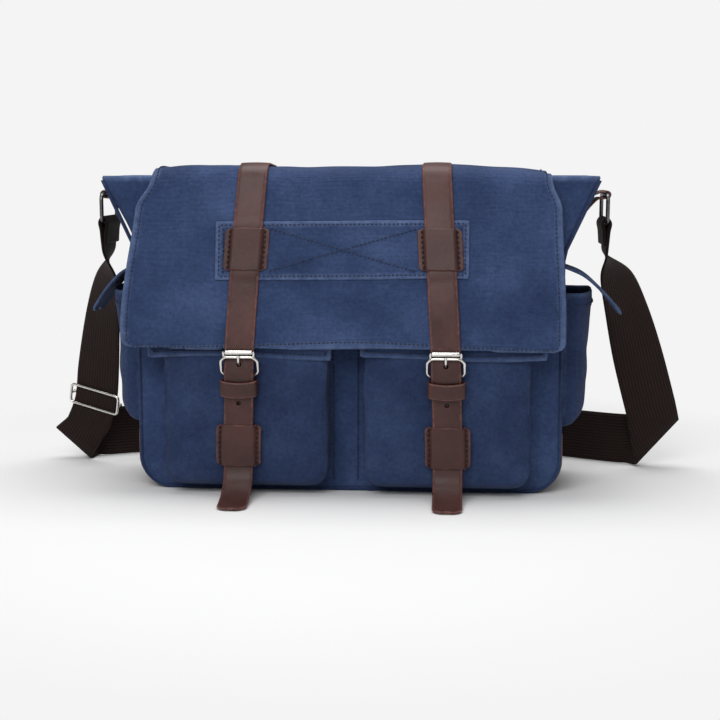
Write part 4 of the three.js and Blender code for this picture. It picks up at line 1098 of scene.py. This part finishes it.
# %% Chapes, keeper loops and lower patches
for hand, side in SIDES.items():
    around = [(HEEL[0] + 3.2 * MM * math.cos(a), HEEL[1] + 3.2 * MM * math.sin(a))
              for a in np.linspace(-0.3, math.pi + 0.2, 8)]
    line = [(-0.0848, 0.031), (-0.0848, 0.07), (-0.0846, 0.094), (-0.0838, 0.104)] + around
    line += [(-0.0888, 0.1065)]
    grid = strip_along(line[::-1], side, 24.6 * MM, 70, crown=0)[::-1]
    chape = sheet_piece(f"chape_{hand}", grid, 1.9 * MM, DARK_LEATHER, worn=0.001)
    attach(chape, f"closure_{hand}")
    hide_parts(f"chape_{hand}")

    low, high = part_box(f"keeper_loop_{hand}")
    middle = (strap_x(side, (low[2] + high[2]) / 2), (low[1] + high[1]) / 2)
    half_x, half_y, bend = 16.1 * MM, (high[1] - low[1]) / 2 - 0.9 * MM, 3.4 * MM
    plan = level_section(half_x, -half_y, half_y, bend, 26, 8, 6)
    rows = np.linspace(0, 1, 12)
    smile = -2.0 * MM * (1 - (plan[:, 0] / half_x) ** 2) * (plan[:, 1] < 0)
    grid = np.array([[(middle[0] + px, middle[1] + py - 0.5 * MM * math.sin(math.pi * r)
                       * (py < 0), low[2] + (high[2] - low[2]) * r + lift)
                      for r in rows] for (px, py), lift in zip(plan, smile)])
    loop = sheet_piece(f"keeper_loop_{hand}", grid, 1.7 * MM, DARK_LEATHER, worn=0.001,
                       closed=True)
    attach(loop, f"closure_{hand}")
    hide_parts(f"keeper_loop_{hand}")

    low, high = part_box(f"lower_patch_{hand}")
    across, up = rounded_square(39.5 * MM, high[2] - low[2], 4 * MM, 45, 40)
    step = 1 - ease((np.abs(across) - 13.2 * MM) / (3.4 * MM))
    middle_z = (low[2] + high[2]) / 2
    y = high[1] - 1.6 * MM - (high[1] - low[1] - 2.8 * MM) * step
    y -= 0.5 * MM * (1 - (up / (18 * MM)) ** 2)
    grid = np.stack([strap_x(side, middle_z + up) + across, y, middle_z + up], -1)
    patch = sheet_piece(f"lower_patch_{hand}", grid, 1.9 * MM, DARK_LEATHER, worn=0.001)
    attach(patch, f"closure_{hand}")
    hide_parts(f"lower_patch_{hand}")
    for part in ("snap_socket_", "snap_stud_"):
        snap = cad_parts[part + hand].data
        snap.materials.clear()
        snap.materials.append(GUNMETAL)

# %% [markdown]
# The buckle is a cast frame of flattened bar with a roller on the top, which lets the strap
# be drawn tight without chafing. The prong turns on the heel bar and lies over the front bar
# with a rounded tip. Each moving part is its own mesh: frame, roller and prong.

# %% Roller buckles
LEAN = math.radians(22)


def joined(name, parts):
    """One mesh from several closed ones."""
    verts, faces = [], []
    for part in parts:
        first = len(verts)
        verts += [tuple(v.co) for v in part.data.vertices]
        faces += [tuple(first + v for v in face.vertices) for face in part.data.polygons]
        material = part.data.materials[0]
        bpy.data.objects.remove(part)
    return new_piece(name, verts, faces, material)


def on_buckle(side, x, up, out=0.0):
    """A place on the leaning buckle: x across, up from the front bar, out towards the front."""
    y = FRONT_BAR[0] - math.sin(LEAN) * up - math.cos(LEAN) * out
    z = FRONT_BAR[1] + math.cos(LEAN) * up - math.sin(LEAN) * out
    return (strap_x(side, FRONT_BAR[1]) + x, y, z)


for hand, side in SIDES.items():
    half, low_bar = 16.6 * MM, -19.4 * MM
    outline = [(-half + 4 * MM, 0), (-half, -4 * MM), (-half, low_bar + 4 * MM),
               (-half + 4.5 * MM, low_bar), (half - 4.5 * MM, low_bar),
               (half, low_bar + 4 * MM), (half, -4 * MM), (half - 4 * MM, 0)]
    loop = rounded_corners([on_buckle(side, x, up) for x, up in outline], 2.2 * MM, 5)
    frame_bar = bar_piece("bar", loop, 1.85 * MM, NICKEL, 12, closed=True, flat=0.8)
    lugs = [bar_piece("lug", [on_buckle(side, s * 13.6 * MM, t) for t in
                              (0.0, 2 * MM, 4.6 * MM, 5.5 * MM)],
                      [1.2 * MM, 1.1 * MM, 1.1 * MM, 0.6 * MM], NICKEL, 10) for s in (-1, 1)]
    centre_x = strap_x(side, ROLLER_AXIS[1])
    axle = bar_piece("axle", [(centre_x + s, *ROLLER_AXIS) for s in
                              np.array([-13.8, 0, 13.8]) * MM], 1.0 * MM, NICKEL, 10)
    buckle = joined(f"buckle_frame_{hand}", [frame_bar, axle] + lugs)
    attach(buckle, f"closure_{hand}")
    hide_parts(f"buckle_frame_{hand}")

    ends = np.array([-12.4, -12.2, -11.6, 0, 11.6, 12.2, 12.4]) * MM
    thick = np.array([1.5, 1.95, 2.12, 2.15, 2.12, 1.95, 1.5]) * MM
    roller = bar_piece(f"buckle_roller_{hand}", [(centre_x + e, *ROLLER_AXIS) for e in ends],
                       thick, NICKEL, 24)
    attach(roller, f"roller_{hand}")
    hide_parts(f"buckle_roller_{hand}")

    heel_x, bar_x = strap_x(side, HEEL[1]), strap_x(side, FRONT_BAR[1])
    pin = smooth_path([(heel_x, HEEL[0] - 2.4 * MM, HEEL[1] + 1 * MM),
                       (bar_x, HEEL[0] - 2.3 * MM, FRONT_BAR[1] - 10.5 * MM),
                       (bar_x, FRONT_BAR[0] - 1.7 * MM, FRONT_BAR[1] - 5 * MM),
                       (bar_x, FRONT_BAR[0] - 3.1 * MM, FRONT_BAR[1] - 1 * MM),
                       (bar_x, FRONT_BAR[0] - 3.2 * MM, FRONT_BAR[1] + 1.6 * MM)], 7)
    size = 1.1 * MM + 0.35 * MM * ease((np.arange(len(pin)) / len(pin) - 0.7) / 0.2)
    size[-2:] = (1.2 * MM, 0.7 * MM)
    shank = bar_piece("shank", pin, size, NICKEL, 12)
    eye = bar_piece("eye", [(heel_x, HEEL[0] + 2.7 * MM * math.cos(a),
                             HEEL[1] + 2.7 * MM * math.sin(a))
                            for a in np.linspace(0, 2 * math.pi, 20, endpoint=False)],
                    0.8 * MM, NICKEL, 8, closed=True)
    prong = joined(f"buckle_prong_{hand}", [shank, eye])
    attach(prong, f"prong_{hand}")
    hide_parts(f"buckle_prong_{hand}")
print("closures done")

# %% [markdown]
# The shoulder strap is one long belt of webbing. It wraps the lower bar of each ring, twists
# to face the front as it falls, folds over diagonally on the floor, and stands on its edge
# behind the bag. Two edge lines describe it all: the belt is the surface between them, so a
# fold is only a place where the two edges turn at different points.

# %% Shoulder strap
ring_low, ring_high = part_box("strap_ring_right")
RING_X = (ring_low[0] + ring_high[0]) / 2
LOWER_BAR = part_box("strap_end_loop_right")[1][2] - 5.6 * MM
RING_Y = 15 * MM
HALF_WEB = 24.6 * MM


def edges_from(stations):
    """Two edge lines from middle points and across directions."""
    middle = smooth_path([s[0] for s in stations], 7)
    across = smooth_path([s[1] for s in stations], 7)
    across /= np.linalg.norm(across, axis=1, keepdims=True)
    return middle + across * HALF_WEB, middle - across * HALF_WEB


def ring_wrap():
    """Round the ring's lower bar, from the stitched inner end to the outer side."""
    x, z = RING_X, LOWER_BAR
    return [((x - 1.5 * MM, RING_Y, z - 21 * MM), (0, 1, 0)),
            ((x - 2.4 * MM, RING_Y, z - 9 * MM), (0, 1, 0)),
            ((x - 3.6 * MM, RING_Y, z - 1 * MM), (0, 1, 0)),
            ((x, RING_Y, z + 3.7 * MM), (0, 1, 0)),
            ((x + 3.6 * MM, RING_Y, z - 1 * MM), (0, 1, 0)),
            ((x + 2.4 * MM, RING_Y, z - 9 * MM), (0, 1, 0)),
            ((x + 1.4 * MM, RING_Y, z - 21 * MM), (0, 1, 0))]


right_fall = [((0.2400, 0.0170, 0.2150), (0.10, 1, 0)),
              ((0.2520, 0.0320, 0.1950), (0.66, 0.74, 0.10)),
              ((0.2640, 0.0430, 0.1610), (0.84, 0.50, 0.18)),
              ((0.2790, 0.0550, 0.1100), (0.94, 0.20, 0.22)),
              ((0.2930, 0.0640, 0.0620), (0.95, 0.12, 0.28))]
left_fall = [((0.2395, 0.0170, 0.2150), (0.10, 1, 0)),
             ((0.2460, 0.0320, 0.1900), (0.62, 0.78, 0.08)),
             ((0.2540, 0.0430, 0.1530), (0.80, 0.58, 0.08)),
             ((0.2621, 0.0520, 0.1000), (0.92, 0.38, 0.06)),
             ((0.2671, 0.0572, 0.0650), (0.94, 0.34, 0.05)),
             ((0.2760, 0.0610, 0.0400), (0.95, 0.26, 0.12))]
FOLDS = {"right": ((0.3215, 0.0700, 0.0490), (0.2810, 0.0680, 0.0030)),
         "left": ((0.3110, 0.0640, 0.0330), (0.2770, 0.0640, 0.0022))}
behind = [(0.262, 0.084), (0.236, 0.096), (0.204, 0.112), (0.150, 0.137), (0.090, 0.155),
          (0.030, 0.1625), (0.0, 0.1635)]


def half_belt(hand):
    fall = right_fall if hand == "right" else left_fall
    outer, inner = edges_from(ring_wrap() + fall)
    top_fold, low_fold = (np.array(p) for p in FOLDS[hand])
    outer = np.concatenate([outer, [(outer[-1] + 2 * top_fold) / 3 + (0, -0.0006, 0),
                                    top_fold]])
    inner = np.concatenate([inner, [(inner[-1] + 2 * low_fold) / 3 + (0, -0.0006, 0),
                                    low_fold]])
    back = np.array([0, 3.4 * MM, 0])
    top_run = smooth_path([top_fold + back + (-2 * MM, 0, 0.4 * MM),
                           (0.290, 0.0775, 0.0505)] + [(x, y, 0.0505) for x, y in behind], 6)
    low_run = smooth_path([low_fold + back + (-2 * MM, 0, -0.8 * MM),
                           (0.272, 0.0820, 0.0016)] + [(x, y, 0.0016) for x, y in behind], 6)
    return np.concatenate([outer, top_run]), np.concatenate([inner, low_run])


right_rails, left_rails = half_belt("right"), half_belt("left")
mirror = np.array([-1, 1, 1])
rails = [np.concatenate([a, (b * mirror)[::-1][1:]]) for a, b in zip(right_rails, left_rails)]
BELT_COLUMNS = 15
share = np.linspace(0, 1, BELT_COLUMNS)[:, None, None]
belt_grid = rails[0][None] * (1 - share) + rails[1][None] * share
belt = sheet_piece("shoulder_strap", belt_grid, 2.2 * MM, WEBBING, worn=0.0015)
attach(belt, "shoulder_strap")
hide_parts("shoulder_strap_right", "shoulder_strap_left", "shoulder_strap_back",
            "strap_end_loop_left", "strap_end_loop_right")
middle_line = (rails[0] + rails[1]) / 2
print("belt", round(float(np.linalg.norm(np.diff(middle_line, axis=0), axis=1).sum()), 3), "m")

# %% [markdown]
# Rings and slider are bent from wire, so each is a round bar along its outline. The leather
# tabs are folded over the rings and sewn to the gussets.

# %% Rings and their tabs
for hand, side in SIDES.items():
    low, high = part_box(f"strap_ring_{hand}")
    x = (low[0] + high[0]) / 2
    wire = 1.9 * MM
    loop = rounded_corners([(x, low[1] + wire, low[2] + wire), (x, high[1] - wire, low[2] + wire),
                            (x, high[1] - wire, high[2] - wire), (x, low[1] + wire, high[2] - wire)],
                           6 * MM, 6)
    ring = bar_piece(f"strap_ring_{hand}", loop, wire, GUNMETAL, 14, closed=True)
    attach(ring, f"ring_{hand}")
    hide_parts(f"strap_ring_{hand}")

    bar_x, bar_z = abs(x), high[2] - wire
    skin = lambda z, off: (half_width(z) + off, z)
    path = [skin(0.227, 3.4 * MM), skin(0.245, 3.6 * MM), skin(0.256, 4.6 * MM),
            (bar_x - 9 * MM, bar_z - 4.4 * MM), (bar_x - 2 * MM, bar_z - 3.2 * MM),
            (bar_x + 2.6 * MM, bar_z - 2.0 * MM), (bar_x + 3.2 * MM, bar_z + 1.4 * MM),
            (bar_x, bar_z + 3.3 * MM), (bar_x - 7 * MM, bar_z + 2.0 * MM),
            (bar_x - 16 * MM, bar_z - 3.0 * MM), skin(0.256, 0.8 * MM), skin(0.240, 0.7 * MM),
            skin(0.226, 0.8 * MM)]
    line = smooth_path(path, 6)
    rows = np.linspace(-16.4 * MM, 16.4 * MM, 16)
    grid = np.array([[(side * px, RING_Y + y, pz) for px, pz in line] for y in rows])
    tab = sheet_piece(f"ring_tab_{hand}", grid, 1.7 * MM, DARK_LEATHER, worn=0.001)
    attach(tab, "bag")
    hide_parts(f"ring_tab_{hand}")

# %% Strap slider
centre = np.array([-0.26716, 0.057, 0.065])
run = np.array([-(0.2721 - 0.2621), 0.0615 - 0.052, 0.035 - 0.100])
run /= np.linalg.norm(run)
across = np.array([-0.94, 0.34, 0.0])
across -= run * across.dot(run)
across /= np.linalg.norm(across)
face = np.cross(run, across)
face = face if face[1] < 0 else -face


def on_slider(x, up, out):
    return centre + across * x - run * up + face * out


half, tall, stand = 28.4 * MM, 9.6 * MM, 2.9 * MM
outline = rounded_corners([on_slider(x, up, stand) for x, up in
                           ((-half, -tall), (half, -tall), (half, tall), (-half, tall))],
                          4.5 * MM, 6)
bars = [bar_piece("rim", outline, 1.7 * MM, NICKEL, 12, closed=True, flat=0.8),
        bar_piece("middle_bar", [on_slider(-half, 0, -stand + 0.4 * MM),
                                 on_slider(-half + 3 * MM, 0, -stand),
                                 on_slider(half - 3 * MM, 0, -stand),
                                 on_slider(half, 0, -stand + 0.4 * MM)], 1.5 * MM, NICKEL, 12),
        bar_piece("post", [on_slider(-half, 0, -stand), on_slider(-half, 0, stand)],
                  1.5 * MM, NICKEL, 12),
        bar_piece("post", [on_slider(half, 0, -stand), on_slider(half, 0, stand)],
                  1.5 * MM, NICKEL, 12)]
slider = joined("strap_slider", bars)
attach(slider, "shoulder_strap")
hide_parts("strap_slider")

# %% [markdown]
# Hundreds of stitches would be slow to place one by one, and a painted dotted line has no
# relief. Geometry Nodes put one small thread loop at even steps along each sewing line: the
# curve is resampled by the stitch length, a short rounded bead is instanced along its
# tangent, and the result is realized into one plain mesh for each body.

# %% The stitching tree
def stitch_bead():
    """A stitch of length 1 along X: a short six-sided thread that dips at both ends."""
    rings = [(-0.5, -0.10, 0.02), (-0.36, 0.10, 0.13), (0.0, 0.17, 0.15), (0.36, 0.10, 0.13),
             (0.5, -0.10, 0.02)]
    path = [(x, 0, z) for x, z, _ in rings]
    return bar_piece("stitch_bead", path, [r for _, _, r in rings], BLUE_THREAD, sides=6)


def stitching_tree(bead):
    tree = bpy.data.node_groups.new("stitching", "GeometryNodeTree")
    face = tree.interface
    face.new_socket("Geometry", in_out="INPUT", socket_type="NodeSocketGeometry")
    for name, default in (("Pitch", 0.0035), ("Stitch Length", 0.0025), ("Thread", 0.0028)):
        socket = face.new_socket(name, in_out="INPUT", socket_type="NodeSocketFloat")
        socket.default_value = default
    face.new_socket("Finish", in_out="INPUT", socket_type="NodeSocketMaterial")
    face.new_socket("Geometry", in_out="OUTPUT", socket_type="NodeSocketGeometry")
    nodes, links = tree.nodes, tree.links
    given, result = nodes.new("NodeGroupInput"), nodes.new("NodeGroupOutput")
    line = nodes.new("GeometryNodeMeshToCurve")
    steps = nodes.new("GeometryNodeResampleCurve")
    steps.mode = "LENGTH"
    points = nodes.new("GeometryNodeCurveToPoints")
    points.mode = "EVALUATED"
    source = nodes.new("GeometryNodeObjectInfo")
    source.inputs["Object"].default_value = bead
    size = nodes.new("ShaderNodeCombineXYZ")
    facing = nodes.new("GeometryNodeInputNamedAttribute")
    facing.data_type = "FLOAT_VECTOR"
    facing.inputs["Name"].default_value = "outward"
    along = nodes.new("FunctionNodeAlignRotationToVector")
    along.axis = "X"
    upright = nodes.new("FunctionNodeAlignRotationToVector")
    upright.axis, upright.pivot_axis = "Z", "X"
    place = nodes.new("GeometryNodeInstanceOnPoints")
    real = nodes.new("GeometryNodeRealizeInstances")
    finish = nodes.new("GeometryNodeSetMaterial")
    links.new(given.outputs["Geometry"], line.inputs["Mesh"])
    links.new(line.outputs["Curve"], steps.inputs["Curve"])
    links.new(given.outputs["Pitch"], steps.inputs["Length"])
    links.new(steps.outputs["Curve"], points.inputs["Curve"])
    links.new(points.outputs["Tangent"], along.inputs["Vector"])
    links.new(along.outputs["Rotation"], upright.inputs["Rotation"])
    links.new(facing.outputs["Attribute"], upright.inputs["Vector"])
    links.new(given.outputs["Stitch Length"], size.inputs["X"])
    links.new(given.outputs["Thread"], size.inputs["Y"])
    links.new(given.outputs["Thread"], size.inputs["Z"])
    links.new(points.outputs["Points"], place.inputs["Points"])
    links.new(source.outputs["Geometry"], place.inputs["Instance"])
    links.new(upright.outputs["Rotation"], place.inputs["Rotation"])
    links.new(size.outputs["Vector"], place.inputs["Scale"])
    links.new(place.outputs["Instances"], real.inputs["Geometry"])
    links.new(real.outputs["Geometry"], finish.inputs["Geometry"])
    links.new(given.outputs["Finish"], finish.inputs["Material"])
    links.new(finish.outputs["Geometry"], result.inputs["Geometry"])
    return tree


BEAD = stitch_bead()
BEAD.hide_render = BEAD.hide_viewport = True
TREE = stitching_tree(BEAD)


def sewn(name, lines, thread=BLUE_THREAD, pitch=3.8 * MM, length=2.7 * MM, thick=4.2 * MM):
    """Stitches along lines given as (points, outward directions)."""
    verts, edges, outward = [], [], []
    for points, out in lines:
        first = len(verts)
        verts += [tuple(p) for p in points]
        outward += [tuple(o) for o in out]
        edges += [(first + n, first + n + 1) for n in range(len(points) - 1)]
    mesh = bpy.data.meshes.new(name + "_line")
    mesh.from_pydata(verts, edges, [])
    mesh.attributes.new("outward", "FLOAT_VECTOR", "POINT").data.foreach_set(
        "vector", np.asarray(outward, np.float32).ravel())
    guide = bpy.data.objects.new(name + "_line", mesh)
    bpy.context.scene.collection.objects.link(guide)
    modifier = guide.modifiers.new("stitching", "NODES")
    modifier.node_group = TREE
    values = {"Pitch": pitch, "Stitch Length": length, "Thread": thick, "Finish": thread}
    for item in TREE.interface.items_tree:
        if item.in_out == "INPUT" and item.name in values:
            modifier[item.identifier] = values[item.name]
    bpy.context.view_layer.update()
    graph = bpy.context.evaluated_depsgraph_get()
    plain = bpy.data.meshes.new_from_object(guide.evaluated_get(graph))
    plain.name = name
    bpy.data.objects.remove(guide)
    seams = bpy.data.objects.new("made_" + name, plain)
    bpy.context.scene.collection.objects.link(seams)
    return seams


def seam_on(grid, inset, half, sides="lrtb", closed=False):
    """Sewing lines at an inset from the edges of a grid, lifted to its outer face."""
    out = directions(grid, closed)[2]
    over, down = lengths(grid, 0), lengths(grid, 1)
    lifted = grid + out * half
    lines = []
    for which in sides:
        line, face = [], []
        if which in "lr":
            for j in range(grid.shape[1]):
                if not inset <= down[:, j].mean() <= down[:, -1].mean() - inset:
                    continue
                reach = over[:, j] if which == "l" else over[-1, j] - over[:, j]
                order = np.argsort(reach)
                line.append([np.interp(inset, reach[order], lifted[order, j, k])
                             for k in range(3)])
                face.append(out[order[np.searchsorted(reach[order], inset)], j])
        else:
            for i in range(grid.shape[0]):
                if not closed and not inset <= over[i].mean() <= over[-1].mean() - inset:
                    continue
                reach = down[i] if which == "b" else down[i, -1] - down[i]
                order = np.argsort(reach)
                line.append([np.interp(inset, reach[order], lifted[i, order, k])
                             for k in range(3)])
                face.append(out[i, order[np.searchsorted(reach[order], inset)]])
        lines.append((np.array(line), np.array(face)))
    return lines


# %% [markdown]
# The main flap is topstitched along its two sides and its bottom, the band all round with a
# cross between the keepers, and the leather patches down their two side edges.

# %% Sewing the flap
flap_seams = sewn("flap_stitches", seam_on(main_grid, 4.5 * MM, 2.1 * MM, "lrb"))
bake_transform(flap_seams)
top_seams = sewn("yoke_stitches", seam_on(back_grid, 4.5 * MM, 1.3 * MM, "lrt"))
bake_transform(top_seams)

band_lines = seam_on(band_grid, 2.6 * MM, 0.95 * MM) + seam_on(band_grid, 6.5 * MM,
                                                             0.75 * MM, "lr")
cross_s = np.linspace(BAND_RUNS[0] + 7 * MM, BAND_RUNS[1] - 7 * MM, 30)
cross_x = np.linspace(band_low[0] + 50 * MM, band_high[0] - 48 * MM, 30)
for order in (1, -1):
    places = on_stack(cross_x, cross_s[::order], 5.05 * MM + 0 * cross_s)
    band_lines.append((places, np.tile((0, -0.97, 0.24), (30, 1))))
band_seams = sewn("band_stitches", band_lines)
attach(band_seams, "flap_front")


def patch_lines(prefix, inset, half):
    grid = np.empty((45, 40, 3))
    mesh = PIECES[prefix].data
    flat = np.array([v.co for v in mesh.vertices][:45 * 40])
    grid[:] = flat.reshape(45, 40, 3)
    return seam_on(grid, inset, half, "lr")


lines = [line for hand in SIDES for line in patch_lines(f"keeper_patch_{hand}", 3.2 * MM, 0.2 * MM)]
keeper_seams = sewn("keeper_stitches", lines, BROWN_THREAD, 4.4 * MM, 3.2 * MM, 5 * MM)
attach(keeper_seams, "flap_front")
for hand in SIDES:
    lines = patch_lines(f"lower_patch_{hand}", 3.2 * MM, 0.2 * MM)
    seams = sewn(f"lower_stitches_{hand}", lines, BROWN_THREAD, 4.4 * MM, 3.2 * MM, 5 * MM)
    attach(seams, f"closure_{hand}")
print("flap stitches", len(flap_seams.data.polygons), "faces")

# %% Sewing the pockets
def outer_grid(name, columns, rows):
    flat = np.array([v.co for v in PIECES[name].data.vertices][:columns * rows])
    return flat.reshape(columns, rows, 3)


bag_lines = []
for hand in SIDES:
    grid = outer_grid(f"pocket_flap_{hand}", 64, 37)
    seams = sewn(f"pocket_flap_stitches_{hand}", seam_on(grid, 4 * MM, 0.0, "lrt"))
    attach(seams, f"pocket_flap_{hand}")
    bag_lines += seam_on(outer_grid(f"side_pocket_{hand}", 72, 58), 10 * MM, 0.0, "t")
    bag_lines += seam_on(outer_grid(f"front_pocket_{hand}", 82, 55), 8 * MM, 0.0, "t")
for x in (-13 * MM, 9 * MM):
    z = np.linspace(0.012, 0.2, 40)
    bag_lines.append((np.stack([x + 0 * z, FRONT - 1.4 * MM + 0 * z, z], -1),
                      np.tile((0, -1, 0), (40, 1))))
bag_seams = sewn("bag_stitches", bag_lines)
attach(bag_seams, "bag")
bpy.data.objects.remove(BEAD)
